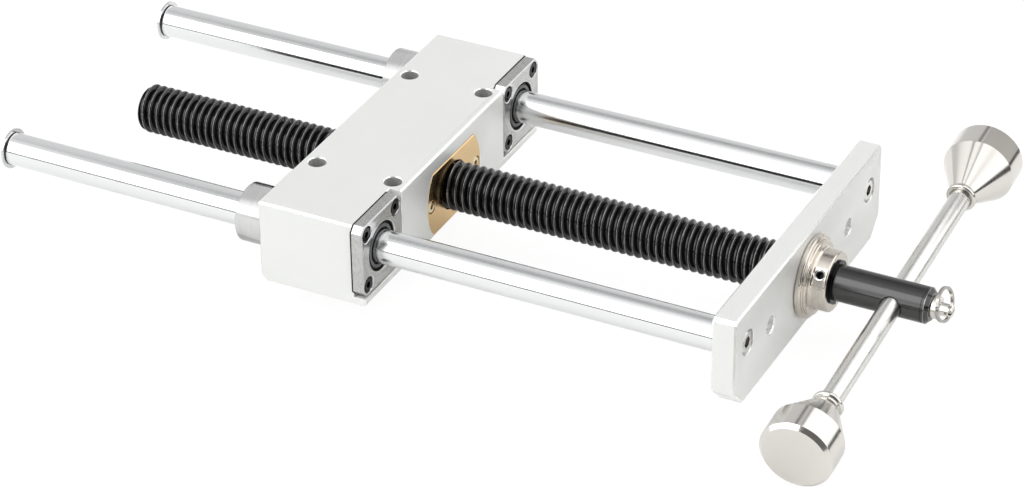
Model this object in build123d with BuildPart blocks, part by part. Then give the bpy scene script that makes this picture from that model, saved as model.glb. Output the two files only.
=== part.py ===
from build123d import *
import os
from math import cos, radians, sin, sqrt

# Linear-bearing front vise for a workbench.
# +Z is up, +Y points from the front plate to the rear ends of the rods, X runs across the bench.
# The origin is the centre of the guide block's top face, which bolts up under the bench.
# The jaw stands open, as the vise is shown: its plate is at negative Y.

# Guide block
block_width = 176.0
block_depth = 55.0
block_height = 42.0
block_edge_chamfer = 0.8
block_rear_chamfer = 3.0
bench_hole_rod_distance = 25.25
bench_hole_spacing_y = 40.0
bench_hole_diameter = 8.5
bench_hole_chamfer = 0.4

# Guide rods and their fastening
rod_diameter = 16.0
rod_edge_distance = 17.25
rod_drop = 18.6
rod_end_chamfer = 0.8
rod_tail = 2.0
rod_seat_depth = 2.0
rod_screw_diameter = 6.0
rod_screw_depth = 14.0
rod_screw_head_diameter = 10.0
rod_screw_head_height = 6.0
rod_screw_hex = 5.0
rod_screw_counterbore = 12.4
rod_screw_counterbore_depth = 6.4
rod_tap_runout = 4.0
ring_groove_depth = 0.4
ring_thickness = 1.0
ring_width = 2.2
ring_gap = 4.0
ring_opening_angle = -35.0
ring_lug_radius = 1.7
ring_lug_hole_radius = 0.8
ring_lug_sink = 0.4

# Long square-flange ball bushings
bearing_length = 70.0
bearing_shell_diameter = 28.0
flange_size = 37.0
flange_thickness = 6.0
flange_corner_chamfer = 3.0
flange_edge_chamfer = 0.5
flange_bolt_circle = 38.0
flange_screw_diameter = 4.0
flange_screw_length = 12.0
flange_screw_head_diameter = 7.0
flange_screw_head_height = 4.0
flange_screw_hex = 3.0
flange_counterbore = 8.0
flange_counterbore_depth = 4.3
ball_diameter = 2.778
ball_circuits = 5
ball_row_length = 44.0
ball_return_angle = 24.0
ball_return_depth = 1.7
cage_slot_width = 3.0
cage_rod_gap = 0.45
seal_diameter = 24.0
seal_thickness = 2.5
seal_recess = 0.6
seal_lip_inset = 0.8
seal_lip_width = 2.0

# Brass nut
screw_drop = 24.7
nut_flange_diameter = 53.4
nut_flat_to_flat = 33.0
nut_flange_thickness = 8.0
nut_barrel_diameter = 31.0
nut_length = 46.0
nut_edge_chamfer = 0.3
nut_flat_gap = 0.6
nut_screw_inset = 4.3
nut_screw_diameter = 4.0
nut_screw_length = 14.0
nut_screw_head_diameter = 6.4
nut_screw_head_height = 3.6
nut_screw_hex = 2.5
nut_counterbore = 7.0
nut_counterbore_depth = 3.8

# Front plate
plate_end_distance = 14.1
plate_height = 47.4
plate_thickness = 11.5
plate_top_drop = 0.7
plate_top_chamfer = 1.5
plate_corner_clip = 9.4
plate_edge_chamfer = 0.8
chop_hole_spacing = 91.0
chop_hole_diameter = 8.5
chop_hole_chamfer = 0.5

# Lead screw
thread_diameter = 24.0
thread_lead = 4.0
thread_end_chamfer = 2.0
thread_rear_reach = 142.0
spindle_diameter = 17.0
spindle_front_reach = 59.2
spindle_end_chamfer = 1.8
spindle_groove_width = 0.8
spindle_groove_depth = 0.35
spindle_groove_offset = 2.6
bush_diameter = 22.0
thrust_washer_diameter = 32.0
thrust_washer_thickness = 1.5
thrust_washer_chamfer = 0.3

# Thrust collar
collar_flange_diameter = 39.6
collar_flange_thickness = 2.8
collar_shoulder_diameter = 35.6
collar_shoulder_thickness = 1.8
collar_hub_diameter = 28.6
collar_length = 12.6
collar_edge_chamfer = 0.7
grub_screw_setback = 4.0
grub_screw_diameter = 5.0
grub_screw_hex = 2.5
grub_screw_sink = 0.8
grub_mouth_chamfer = 0.9
grub_screw_angle = 141.0

# T-handle
handle_tilt = 6.2
bar_diameter = 10.0
bar_hole_clearance = 0.3
bar_offset = 41.9
bar_seat_depth = 18.0
bar_end_chamfer = 0.8
neck_position = 78.9
neck_ring_length = 2.6
neck_ring_diameter = 14.6
neck_ring_chamfer = 0.8
neck_groove_diameter = 12.4
neck_groove_length = 1.2
neck_mouth_chamfer = 0.6
knob_cone_end = 102.0
knob_body_end = 115.5
knob_end = 117.4
knob_diameter = 34.2
knob_end_chamfer = 1.9

# Lock screw at the spindle's end
lock_stud_diameter = 6.0
lock_neck_diameter = 10.4
lock_neck_length = 3.3
lock_disc_diameter = 16.4
lock_disc_wall = 0.7
lock_disc_depth = 3.55
lock_dish_depth = 1.4
lock_boss_diameter = 6.0
lock_boss_reach = 6.0
lock_slot_width = 1.0
lock_slot_depth = 1.4
lock_pin_diameter = 1.2
lock_pin_length = 8.4
lock_edge_chamfer = 0.4

# What all socket head screws share
screw_head_chamfer = 0.35
socket_depth_ratio = 0.55

# Travel of the jaw from the shown place
opening_turns = 32.5
closing_turns = 42.5
stop_gap = 0.4

# Clearances
seat_gap = 0.05
running_gap = 0.06
thread_running_gap = 0.08
recess_gap = 0.9
thrust_gap = 0.15
screw_gap = 0.03
screw_hole_gap = 0.25

# Places that follow from the sizes
rod_spacing = block_width - 2 * rod_edge_distance
bench_hole_spacing_x = rod_spacing - 2 * bench_hole_rod_distance
plate_width = rod_spacing + 2 * plate_end_distance
nut_screw_spacing = nut_flange_diameter - 2 * nut_screw_inset
front_y = -block_depth / 2
step_y = front_y + flange_thickness
half_rods = rod_spacing / 2
bearing_rear_y = front_y + bearing_length
plate_rear_y = front_y - closing_turns * thread_lead - stop_gap
plate_front_y = plate_rear_y - plate_thickness
ring_front_y = bearing_rear_y + opening_turns * thread_lead + stop_gap
rod_rear_y = ring_front_y + ring_thickness + rod_tail
rod_front_y = plate_rear_y - rod_seat_depth
shoulder_y = plate_rear_y + thrust_gap
collar_rear_y = plate_front_y - thrust_gap
collar_front_y = collar_rear_y - collar_length
snap_ring_front_y = collar_front_y - ring_thickness
spindle_front_y = plate_front_y - spindle_front_reach
bar_y = plate_front_y - bar_offset
plate_bottom_z = -plate_top_drop - plate_height
recess_floor_z = -rod_drop - flange_size / 2 - recess_gap
nut_land_half = half_rods - flange_size / 2 - recess_gap
race_radius = rod_diameter / 2 + ball_diameter + 2 * screw_gap
bar_direction = Vector(cos(radians(handle_tilt)), 0, sin(radians(handle_tilt)))
sides = {"left": -1, "right": 1}
spindle_axis = Axis((0, 0, -screw_drop), (0, 1, 0))
spindle_axial_plane = Plane(origin=(0, 0, -screw_drop), x_dir=(0, 1, 0), z_dir=(1, 0, 0))


def front_plane(x, y, z):
    """Plane across the rods whose extrusion runs to the front."""
    return Plane(origin=(x, y, z), x_dir=(1, 0, 0), z_dir=(0, -1, 0))


def rear_plane(x, y, z):
    """Plane across the rods whose extrusion runs to the rear."""
    return Plane(origin=(x, y, z), x_dir=(-1, 0, 0), z_dir=(0, 1, 0))


def save(part, name):
    """Label a finished piece and write it."""
    part.label = name
    export_step(part, f"parts/{name}.step")


def cap_screws(places, y_head, diameter, length, head_diameter, head_height, hex_size):
    """Socket head cap screws along Y with their heads to the front."""
    with BuildPart() as screws:
        with BuildSketch(rear_plane(0, y_head, 0)):
            with Locations(*[(-x, z) for x, z in places]):
                Circle(head_diameter / 2)
        extrude(amount=head_height)
        chamfer(screws.edges().group_by(Axis.Y)[0], screw_head_chamfer)
        with BuildSketch(rear_plane(0, y_head + head_height, 0)):
            with Locations(*[(-x, z) for x, z in places]):
                Circle(diameter / 2)
        extrude(amount=length)
        with BuildSketch(rear_plane(0, y_head, 0)):
            with Locations(*[(-x, z) for x, z in places]):
                RegularPolygon(hex_size / 2, 6, major_radius=False)
        extrude(amount=head_height * socket_depth_ratio, mode=Mode.SUBTRACT)
    return screws.part


os.makedirs("parts", exist_ok=True)

# Guide block: both ends milled back for the bearing flanges, with a lip left under them
bearing_places = [(side * half_rods, -rod_drop) for side in sides.values()]
flange_screw_offset = flange_bolt_circle / 2 / sqrt(2)
flange_screw_places = {
    name: [
        (side * half_rods + i * flange_screw_offset, -rod_drop + j * flange_screw_offset)
        for i in (-1, 1)
        for j in (-1, 1)
    ]
    for name, side in sides.items()
}
nut_screw_places = [(side * nut_screw_spacing / 2, -screw_drop) for side in sides.values()]
end_width = block_width / 2 - nut_land_half
pocket_top = nut_flat_to_flat / 2 + nut_flat_gap
pocket_radius = nut_flange_diameter / 2 + seat_gap
pocket_mouth = 2 * sqrt(pocket_radius**2 - pocket_top**2)

with BuildPart() as guide_block:
    with BuildSketch(Plane.XY):
        Rectangle(block_width, block_depth)
    extrude(amount=-block_height)
    chamfer(guide_block.edges().filter_by(Axis.X).group_by(Axis.Y)[-1].sort_by(Axis.Z)[0], block_rear_chamfer)
    chamfer(guide_block.faces().sort_by(Axis.Z)[-1].edges(), block_edge_chamfer)
    chamfer(guide_block.edges().filter_by(Axis.X).group_by(Axis.Y)[0].sort_by(Axis.Z)[0], block_edge_chamfer)
    chamfer(guide_block.edges().filter_by(Axis.Z), block_edge_chamfer)
    with BuildSketch(front_plane(0, step_y, 0)):
        for side in sides.values():
            with Locations((side * (nut_land_half + end_width / 2), recess_floor_z / 2)):
                Rectangle(end_width, -recess_floor_z)
    extrude(amount=flange_thickness, mode=Mode.SUBTRACT)
    with BuildSketch(rear_plane(0, front_y, 0)):
        with Locations(*[(-x, z) for x, z in bearing_places]):
            Circle(bearing_shell_diameter / 2 + seat_gap)
        with Locations((0, -screw_drop)):
            Circle(nut_barrel_diameter / 2 + seat_gap)
    extrude(amount=block_depth, mode=Mode.SUBTRACT)
    with BuildSketch(rear_plane(0, front_y, 0)):
        with Locations((0, -screw_drop)):
            Circle(pocket_radius)
            Rectangle(pocket_radius * 2, pocket_top * 2, mode=Mode.INTERSECT)
            with Locations((0, -pocket_top)):
                Rectangle(pocket_mouth, 2 * (block_height - screw_drop - pocket_top))
    extrude(amount=nut_flange_thickness, mode=Mode.SUBTRACT)
    with BuildSketch(rear_plane(0, front_y, 0)):
        with Locations(*[(-x, z) for places in flange_screw_places.values() for x, z in places]):
            Circle(flange_screw_diameter / 2 + screw_gap)
    extrude(amount=flange_thickness + flange_screw_length, mode=Mode.SUBTRACT)
    with BuildSketch(rear_plane(0, front_y, 0)):
        with Locations(*[(-x, z) for x, z in nut_screw_places]):
            Circle(nut_screw_diameter / 2 + screw_gap)
    extrude(amount=nut_flange_thickness + nut_screw_length, mode=Mode.SUBTRACT)
    with Locations(Plane.XY):
        with GridLocations(bench_hole_spacing_x, bench_hole_spacing_y, 2, 2):
            CounterSinkHole(bench_hole_diameter / 2, bench_hole_diameter / 2 + bench_hole_chamfer)
save(guide_block.part, "guide_block")


def bearing_shell(name, side):
    """Hardened shell with a square flange, a race for the balls and a seat for a seal at each end."""
    x = side * half_rods
    seat_depth = seal_thickness + seal_recess
    with BuildPart() as shell:
        with BuildSketch(rear_plane(x, front_y, -rod_drop)):
            Rectangle(flange_size, flange_size)
        extrude(amount=flange_thickness)
        chamfer(shell.edges().filter_by(Axis.Y), flange_corner_chamfer)
        chamfer(shell.faces().sort_by(Axis.Y)[0].edges(), flange_edge_chamfer)
        with BuildSketch(rear_plane(x, step_y, -rod_drop)):
            Circle(bearing_shell_diameter / 2)
        extrude(amount=bearing_length - flange_thickness)
        chamfer(shell.faces().sort_by(Axis.Y)[-1].edges(), flange_edge_chamfer)
        with BuildSketch(rear_plane(x, front_y, -rod_drop)):
            Circle(race_radius)
        extrude(amount=bearing_length, mode=Mode.SUBTRACT)
        with BuildSketch(rear_plane(x, front_y, -rod_drop)):
            Circle(seal_diameter / 2 + seat_gap)
        extrude(amount=seat_depth, mode=Mode.SUBTRACT)
        with BuildSketch(front_plane(x, bearing_rear_y, -rod_drop)):
            Circle(seal_diameter / 2 + seat_gap)
        extrude(amount=seat_depth, mode=Mode.SUBTRACT)
        with Locations(front_plane(x, front_y, -rod_drop)):
            with GridLocations(2 * flange_screw_offset, 2 * flange_screw_offset, 2, 2):
                CounterBoreHole(
                    flange_screw_diameter / 2 + screw_hole_gap,
                    flange_counterbore / 2,
                    flange_counterbore_depth,
                    depth=flange_thickness,
                )
    save(shell.part, f"bearing_shell_{name}")


def ball_cage(name, side):
    """Moulded retainer: a tube between the seals with one racetrack slot for each ball circuit."""
    x = side * half_rods
    inset = seal_thickness + seal_recess + seat_gap
    cage_length = bearing_length - 2 * inset
    cage_inner = rod_diameter / 2 + cage_rod_gap
    cage_outer = race_radius - seat_gap
    track_gap = 2 * cage_outer * sin(radians(ball_return_angle / 2))
    with BuildPart() as cage:
        with BuildSketch(rear_plane(x, front_y + inset, -rod_drop)):
            Circle(cage_outer)
            Circle(cage_inner, mode=Mode.SUBTRACT)
        extrude(amount=cage_length)
        for i in range(ball_circuits):
            turn = radians(360 / ball_circuits * i + 90)
            outward = (cos(turn), 0, sin(turn))
            centre = (x, front_y + bearing_length / 2, -rod_drop)
            radial = Plane(origin=centre, x_dir=(0, 1, 0), z_dir=outward)
            with BuildSketch(radial):
                SlotOverall(ball_row_length + cage_slot_width, cage_slot_width)
            extrude(amount=race_radius + ball_diameter, mode=Mode.SUBTRACT)
            with BuildSketch(radial.offset(cage_outer - ball_return_depth)):
                with Locations((0, track_gap / 2)):
                    SlotOverall(ball_row_length + track_gap + cage_slot_width, track_gap + cage_slot_width)
                    SlotOverall(
                        ball_row_length + track_gap - cage_slot_width,
                        track_gap - cage_slot_width,
                        mode=Mode.SUBTRACT,
                    )
            extrude(amount=ball_diameter, mode=Mode.SUBTRACT)
    save(cage.part, f"ball_cage_{name}")


def ball_rows(name, side):
    """The loaded rows: each row of touching balls is one bar of the balls' diameter."""
    x = side * half_rods
    row_radius = rod_diameter / 2 + running_gap + ball_diameter / 2 - screw_gap
    with BuildPart() as rows:
        for i in range(ball_circuits):
            turn = radians(360 / ball_circuits * i + 90)
            place = (
                x + row_radius * cos(turn),
                front_y + (bearing_length - ball_row_length) / 2,
                -rod_drop + row_radius * sin(turn),
            )
            with BuildSketch(rear_plane(*place)):
                Circle(ball_diameter / 2 - screw_gap)
            extrude(amount=ball_row_length)
    save(rows.part, f"ball_rows_{name}")


def bearing_seals(name, side):
    """Rubber end seals: a ring with a lip that slopes in to the rod, one at each end of the shell."""
    x = side * half_rods
    inner = rod_diameter / 2 + running_gap
    outer = seal_diameter / 2
    with BuildPart() as seals:
        for y_face, inward in ((front_y + seal_recess, 1), (bearing_rear_y - seal_recess, -1)):
            y_back = y_face + inward * seal_thickness
            y_lip = y_face + inward * seal_lip_inset
            with BuildSketch(Plane.XY.offset(-rod_drop)):
                with BuildLine():
                    Polyline(
                        (x + inner, y_lip),
                        (x + inner, y_back),
                        (x + outer, y_back),
                        (x + outer, y_face),
                        (x + inner + seal_lip_width, y_face),
                        close=True,
                    )
                make_face()
            revolve(axis=Axis((x, 0, -rod_drop), (0, 1, 0)))
    save(seals.part, f"bearing_seals_{name}")


for side_name, side_sign in sides.items():
    bearing_shell(side_name, side_sign)
    ball_cage(side_name, side_sign)
    ball_rows(side_name, side_sign)
    bearing_seals(side_name, side_sign)
    save(
        cap_screws(
            flange_screw_places[side_name],
            front_y + flange_counterbore_depth - flange_screw_head_height,
            flange_screw_diameter,
            flange_screw_length,
            flange_screw_head_diameter,
            flange_screw_head_height,
            flange_screw_hex,
        ),
        f"bearing_screws_{side_name}",
    )

# Brass nut: round flange with a flat above and below, plain barrel through the block
with BuildPart() as screw_nut:
    with BuildSketch(rear_plane(0, front_y, -screw_drop)):
        Circle(nut_flange_diameter / 2)
        Rectangle(nut_flange_diameter, nut_flat_to_flat, mode=Mode.INTERSECT)
    extrude(amount=nut_flange_thickness)
    chamfer(screw_nut.faces().sort_by(Axis.Y)[0].edges(), nut_edge_chamfer)
    with BuildSketch(rear_plane(0, front_y + nut_flange_thickness, -screw_drop)):
        Circle(nut_barrel_diameter / 2)
    extrude(amount=nut_length - nut_flange_thickness)
    chamfer(screw_nut.faces().sort_by(Axis.Y)[-1].edges(), nut_edge_chamfer)
    with BuildSketch(rear_plane(0, front_y, -screw_drop)):
        Circle(thread_diameter / 2 + thread_running_gap)
    extrude(amount=nut_length, mode=Mode.SUBTRACT)
    chamfer(screw_nut.edges().filter_by(GeomType.CIRCLE).group_by(SortBy.RADIUS)[0], nut_edge_chamfer)
    with Locations(front_plane(0, front_y, -screw_drop)):
        with GridLocations(nut_screw_spacing, 0, 2, 1):
            CounterBoreHole(
                nut_screw_diameter / 2 + screw_hole_gap,
                nut_counterbore / 2,
                nut_counterbore_depth,
                depth=nut_flange_thickness,
            )
save(screw_nut.part, "screw_nut")

save(
    cap_screws(
        nut_screw_places,
        front_y + nut_counterbore_depth - nut_screw_head_height,
        nut_screw_diameter,
        nut_screw_length,
        nut_screw_head_diameter,
        nut_screw_head_height,
        nut_screw_hex,
    ),
    "nut_screws",
)

# Front plate: rod seats behind, sunk rod screws in front, spindle bore and two chop holes
with BuildPart() as front_plate:
    with BuildSketch(front_plane(0, plate_rear_y, 0)):
        with BuildLine():
            Polyline(
                (-plate_width / 2, -plate_top_drop - plate_top_chamfer),
                (-plate_width / 2 + plate_top_chamfer, -plate_top_drop),
                (plate_width / 2 - plate_top_chamfer, -plate_top_drop),
                (plate_width / 2, -plate_top_drop - plate_top_chamfer),
                (plate_width / 2, plate_bottom_z + plate_corner_clip),
                (plate_width / 2 - plate_corner_clip, plate_bottom_z),
                (-plate_width / 2 + plate_corner_clip, plate_bottom_z),
                (-plate_width / 2, plate_bottom_z + plate_corner_clip),
                close=True,
            )
        make_face()
    extrude(amount=plate_thickness)
    chamfer(front_plate.faces().sort_by(Axis.Y)[0].edges(), plate_edge_chamfer)
    chamfer(front_plate.faces().sort_by(Axis.Y)[-1].edges(), plate_edge_chamfer)
    with BuildSketch(front_plane(0, plate_rear_y, 0)):
        with Locations(*[(side * chop_hole_spacing / 2, -screw_drop) for side in sides.values()]):
            Circle(chop_hole_diameter / 2)
    extrude(amount=plate_thickness, mode=Mode.SUBTRACT)
    chamfer(front_plate.edges().filter_by(GeomType.CIRCLE), chop_hole_chamfer)
    with BuildSketch(front_plane(0, plate_rear_y, 0)):
        with Locations(*bearing_places):
            Circle(rod_diameter / 2 + seat_gap)
    extrude(amount=rod_seat_depth, mode=Mode.SUBTRACT)
    with BuildSketch(front_plane(0, plate_rear_y, 0)):
        with Locations(*bearing_places):
            Circle(rod_screw_diameter / 2 + screw_hole_gap)
        with Locations((0, -screw_drop)):
            Circle(bush_diameter / 2 + seat_gap)
    extrude(amount=plate_thickness, mode=Mode.SUBTRACT)
    with BuildSketch(rear_plane(0, plate_front_y, 0)):
        with Locations(*[(-x, z) for x, z in bearing_places]):
            Circle(rod_screw_counterbore / 2)
    extrude(amount=rod_screw_counterbore_depth, mode=Mode.SUBTRACT)
    with BuildSketch(front_plane(0, plate_rear_y, -screw_drop)):
        Circle(thrust_washer_diameter / 2 + seat_gap)
    extrude(amount=thrust_washer_thickness, mode=Mode.SUBTRACT)
save(front_plate.part, "front_plate")


def guide_rod(name, side):
    """Chromed rod with a chamfered rear end, a ring groove and a tapped hole for its screw."""
    x = side * half_rods
    with BuildPart() as rod:
        with BuildSketch(rear_plane(x, rod_front_y, -rod_drop)):
            Circle(rod_diameter / 2)
        extrude(amount=rod_rear_y - rod_front_y)
        chamfer(rod.edges().filter_by(GeomType.CIRCLE), rod_end_chamfer)
        with BuildSketch(rear_plane(x, ring_front_y, -rod_drop)):
            Circle(rod_diameter)
            Circle(rod_diameter / 2 - ring_groove_depth, mode=Mode.SUBTRACT)
        extrude(amount=ring_thickness, mode=Mode.SUBTRACT)
        with BuildSketch(rear_plane(x, rod_front_y, -rod_drop)):
            Circle(rod_screw_diameter / 2 + screw_gap)
        extrude(amount=rod_seat_depth + rod_screw_depth + rod_tap_runout, mode=Mode.SUBTRACT)
    save(rod.part, f"guide_rod_{name}")


def retaining_ring(name, side):
    """External ring in the rod's groove, open away from the rod's upper front between two lugs."""
    x = side * half_rods
    inner = rod_diameter / 2 - ring_groove_depth + screw_gap
    outer = rod_diameter / 2 - ring_groove_depth + ring_width
    lug_reach = outer - ring_lug_sink
    lug_offset = ring_gap / 2 + ring_lug_radius
    turn = radians(ring_opening_angle)
    ring_plane = Plane(
        origin=(x, ring_front_y + screw_gap, -rod_drop),
        x_dir=(-cos(turn), 0, -sin(turn)),
        z_dir=(0, 1, 0),
    )
    with BuildPart() as ring:
        with BuildSketch(ring_plane):
            Circle(outer)
            with Locations((-lug_reach, -lug_offset), (-lug_reach, lug_offset)):
                Circle(ring_lug_radius)
            Circle(inner, mode=Mode.SUBTRACT)
            with Locations((-outer, 0)):
                Rectangle(outer, ring_gap, mode=Mode.SUBTRACT)
            with Locations((-lug_reach, -lug_offset), (-lug_reach, lug_offset)):
                Circle(ring_lug_hole_radius, mode=Mode.SUBTRACT)
        extrude(amount=ring_thickness - 2 * screw_gap)
    save(ring.part, f"retaining_ring_{name}")


for side_name, side_sign in sides.items():
    guide_rod(side_name, side_sign)
    retaining_ring(side_name, side_sign)

save(
    cap_screws(
        bearing_places,
        plate_front_y + rod_screw_counterbore_depth - rod_screw_head_height,
        rod_screw_diameter,
        plate_thickness - rod_screw_counterbore_depth + rod_screw_depth,
        rod_screw_head_diameter,
        rod_screw_head_height,
        rod_screw_hex,
    ),
    "rod_screws",
)

# Bush pressed into the plate, and the washer sunk behind it that takes the screw's shoulder
with BuildPart() as spindle_bush:
    with BuildSketch(rear_plane(0, plate_front_y, -screw_drop)):
        Circle(bush_diameter / 2)
        Circle(spindle_diameter / 2 + running_gap, mode=Mode.SUBTRACT)
    extrude(amount=plate_thickness - thrust_washer_thickness)
save(spindle_bush.part, "spindle_bush")

with BuildPart() as thrust_washer:
    with BuildSketch(front_plane(0, plate_rear_y, -screw_drop)):
        Circle(thrust_washer_diameter / 2)
        Circle(spindle_diameter / 2 + running_gap, mode=Mode.SUBTRACT)
    extrude(amount=thrust_washer_thickness)
    chamfer(thrust_washer.faces().sort_by(Axis.Y)[-1].edges(), thrust_washer_chamfer)
save(thrust_washer.part, "thrust_washer")

# Lead screw: full thread diameter behind the plate, plain spindle with a cross hole in front
cross_hole_radius = bar_diameter / 2 + bar_hole_clearance
cross_plane = Plane(origin=(0, bar_y, -screw_drop), x_dir=(0, 1, 0), z_dir=bar_direction)
with BuildPart() as lead_screw:
    with BuildSketch(rear_plane(0, shoulder_y, -screw_drop)):
        Circle(thread_diameter / 2)
    extrude(amount=thread_rear_reach - shoulder_y)
    chamfer(lead_screw.edges().group_by(Axis.Y)[-1], thread_end_chamfer)
    with BuildSketch(rear_plane(0, spindle_front_y, -screw_drop)):
        Circle(spindle_diameter / 2)
    extrude(amount=shoulder_y - spindle_front_y)
    chamfer(lead_screw.edges().group_by(Axis.Y)[0], spindle_end_chamfer)
    groove_places = (
        (snap_ring_front_y, ring_thickness, ring_groove_depth),
        (spindle_front_y + spindle_groove_offset, spindle_groove_width, spindle_groove_depth),
    )
    for groove_y, groove_width, groove_depth in groove_places:
        with BuildSketch(rear_plane(0, groove_y, -screw_drop)):
            Circle(spindle_diameter)
            Circle(spindle_diameter / 2 - groove_depth, mode=Mode.SUBTRACT)
        extrude(amount=groove_width, mode=Mode.SUBTRACT)
    with BuildSketch(cross_plane):
        Circle(cross_hole_radius)
    extrude(amount=spindle_diameter, both=True, mode=Mode.SUBTRACT)
    with BuildSketch(rear_plane(0, spindle_front_y, -screw_drop)):
        Circle(lock_stud_diameter / 2 + screw_gap)
    extrude(amount=bar_y - spindle_front_y, mode=Mode.SUBTRACT)
save(lead_screw.part, "lead_screw")

# Thrust collar: a disc against the plate, a shoulder, and a hub with a radial grub screw
grub_y = collar_front_y + grub_screw_setback
grub_plane = Plane(
    origin=(0, grub_y, -screw_drop),
    x_dir=(0, 1, 0),
    z_dir=(cos(radians(grub_screw_angle)), 0, sin(radians(grub_screw_angle))),
)
grub_top = collar_hub_diameter / 2 - grub_screw_sink
grub_seat = spindle_diameter / 2 + screw_gap
flange_front_y = collar_rear_y - collar_flange_thickness
shoulder_front_y = flange_front_y - collar_shoulder_thickness
collar_bore = spindle_diameter / 2 + seat_gap
with BuildPart() as thrust_collar:
    with BuildSketch(spindle_axial_plane):
        with BuildLine():
            Polyline(
                (collar_rear_y, collar_bore),
                (collar_rear_y, collar_flange_diameter / 2 - collar_edge_chamfer),
                (collar_rear_y - collar_edge_chamfer, collar_flange_diameter / 2),
                (flange_front_y, collar_flange_diameter / 2),
                (flange_front_y, collar_shoulder_diameter / 2),
                (shoulder_front_y, collar_shoulder_diameter / 2),
                (shoulder_front_y, collar_hub_diameter / 2),
                (collar_front_y + collar_edge_chamfer, collar_hub_diameter / 2),
                (collar_front_y, collar_hub_diameter / 2 - collar_edge_chamfer),
                (collar_front_y, collar_bore),
                close=True,
            )
        make_face()
    revolve(axis=spindle_axis)
    with Locations(grub_plane.offset(collar_hub_diameter / 2)):
        CounterSinkHole(
            grub_screw_diameter / 2 + screw_gap,
            grub_screw_diameter / 2 + grub_mouth_chamfer,
            depth=collar_hub_diameter / 2,
            counter_sink_angle=90,
        )
save(thrust_collar.part, "thrust_collar")

with BuildPart() as collar_grub_screw:
    with BuildSketch(grub_plane.offset(grub_seat)):
        Circle(grub_screw_diameter / 2)
    extrude(amount=grub_top - grub_seat)
    with BuildSketch(grub_plane.offset(grub_top)):
        RegularPolygon(grub_screw_hex / 2, 6, major_radius=False)
    extrude(amount=-(grub_top - grub_seat) * socket_depth_ratio, mode=Mode.SUBTRACT)
save(collar_grub_screw.part, "collar_grub_screw")

with BuildPart() as spindle_snap_ring:
    with BuildSketch(rear_plane(0, snap_ring_front_y + screw_gap, -screw_drop)):
        Circle(spindle_diameter / 2 - ring_groove_depth + ring_width)
        Circle(spindle_diameter / 2 - ring_groove_depth + screw_gap, mode=Mode.SUBTRACT)
        with Locations((0, -spindle_diameter / 2)):
            Rectangle(ring_gap, spindle_diameter, mode=Mode.SUBTRACT)
    extrude(amount=ring_thickness - 2 * screw_gap)
save(spindle_snap_ring.part, "spindle_snap_ring")

# T-handle: bar through the spindle, with a turned knob at each end
bar_half = neck_position + bar_seat_depth
with BuildPart() as handle_bar:
    with BuildSketch(cross_plane):
        Circle(bar_diameter / 2)
    extrude(amount=bar_half, both=True)
    chamfer(handle_bar.edges().filter_by(GeomType.CIRCLE), bar_end_chamfer)
save(handle_bar.part, "handle_bar")


def handle_knob(name, side):
    """Knob turned on the bar's axis: neck ring, groove, cone, cylinder and a chamfered flat end."""
    along = bar_direction * side
    knob_plane = Plane(origin=(0, bar_y, -screw_drop), x_dir=along, z_dir=(0, 1, 0))
    ring_end = neck_position + neck_ring_length
    bore = bar_diameter / 2 + screw_gap
    ring_edge = neck_ring_diameter / 2 - neck_ring_chamfer
    with BuildPart() as knob:
        with BuildSketch(knob_plane):
            with BuildLine():
                Polyline(
                    (neck_position, ring_edge),
                    (neck_position, bore + neck_mouth_chamfer),
                    (neck_position + neck_mouth_chamfer, bore),
                    (bar_half + screw_gap, bore),
                    (bar_half + screw_gap, 0),
                    (knob_end, 0),
                    (knob_end, knob_diameter / 2 - knob_end_chamfer),
                    (knob_body_end, knob_diameter / 2),
                    (knob_cone_end, knob_diameter / 2),
                    (ring_end + neck_groove_length, neck_groove_diameter / 2),
                    (ring_end, neck_groove_diameter / 2),
                    (ring_end, ring_edge),
                    (ring_end - neck_ring_chamfer, neck_ring_diameter / 2),
                    (neck_position + neck_ring_chamfer, neck_ring_diameter / 2),
                    close=True,
                )
            make_face()
        revolve(axis=Axis((0, bar_y, -screw_drop), bar_direction))
    save(knob.part, f"handle_knob_{name}")


for side_name, side_sign in sides.items():
    handle_knob(side_name, side_sign)

# Lock screw: stud down to the bar, neck, dished finger disc, slotted boss and cross pin
stud_tip_y = bar_y - bar_diameter / 2 - thrust_gap
neck_front_y = spindle_front_y - thrust_gap - lock_neck_length
dish_front_y = neck_front_y - lock_disc_depth
boss_front_y = neck_front_y - lock_boss_reach
pin_y = boss_front_y + lock_slot_depth + lock_pin_diameter
with BuildPart() as lock_stud:
    with BuildSketch(front_plane(0, stud_tip_y, -screw_drop)):
        Circle(lock_stud_diameter / 2)
    extrude(amount=stud_tip_y - spindle_front_y + thrust_gap)
    with BuildSketch(front_plane(0, spindle_front_y - thrust_gap, -screw_drop)):
        Circle(lock_neck_diameter / 2)
    extrude(amount=lock_neck_length)
    chamfer(lock_stud.faces().sort_by(Axis.Y)[0].edges(), lock_edge_chamfer)
    with BuildSketch(front_plane(0, neck_front_y, -screw_drop)):
        Circle(lock_boss_diameter / 2)
    extrude(amount=neck_front_y - boss_front_y)
    chamfer(lock_stud.faces().sort_by(Axis.Y)[0].edges(), lock_edge_chamfer)
    with BuildSketch(rear_plane(0, boss_front_y, -screw_drop)):
        Rectangle(lock_boss_diameter * 2, lock_slot_width)
    extrude(amount=lock_slot_depth, mode=Mode.SUBTRACT)
    with BuildSketch(spindle_axial_plane):
        with Locations((pin_y, 0)):
            Circle(lock_pin_diameter / 2 + screw_gap)
    extrude(amount=lock_boss_diameter, both=True, mode=Mode.SUBTRACT)
save(lock_stud.part, "lock_stud")

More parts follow.
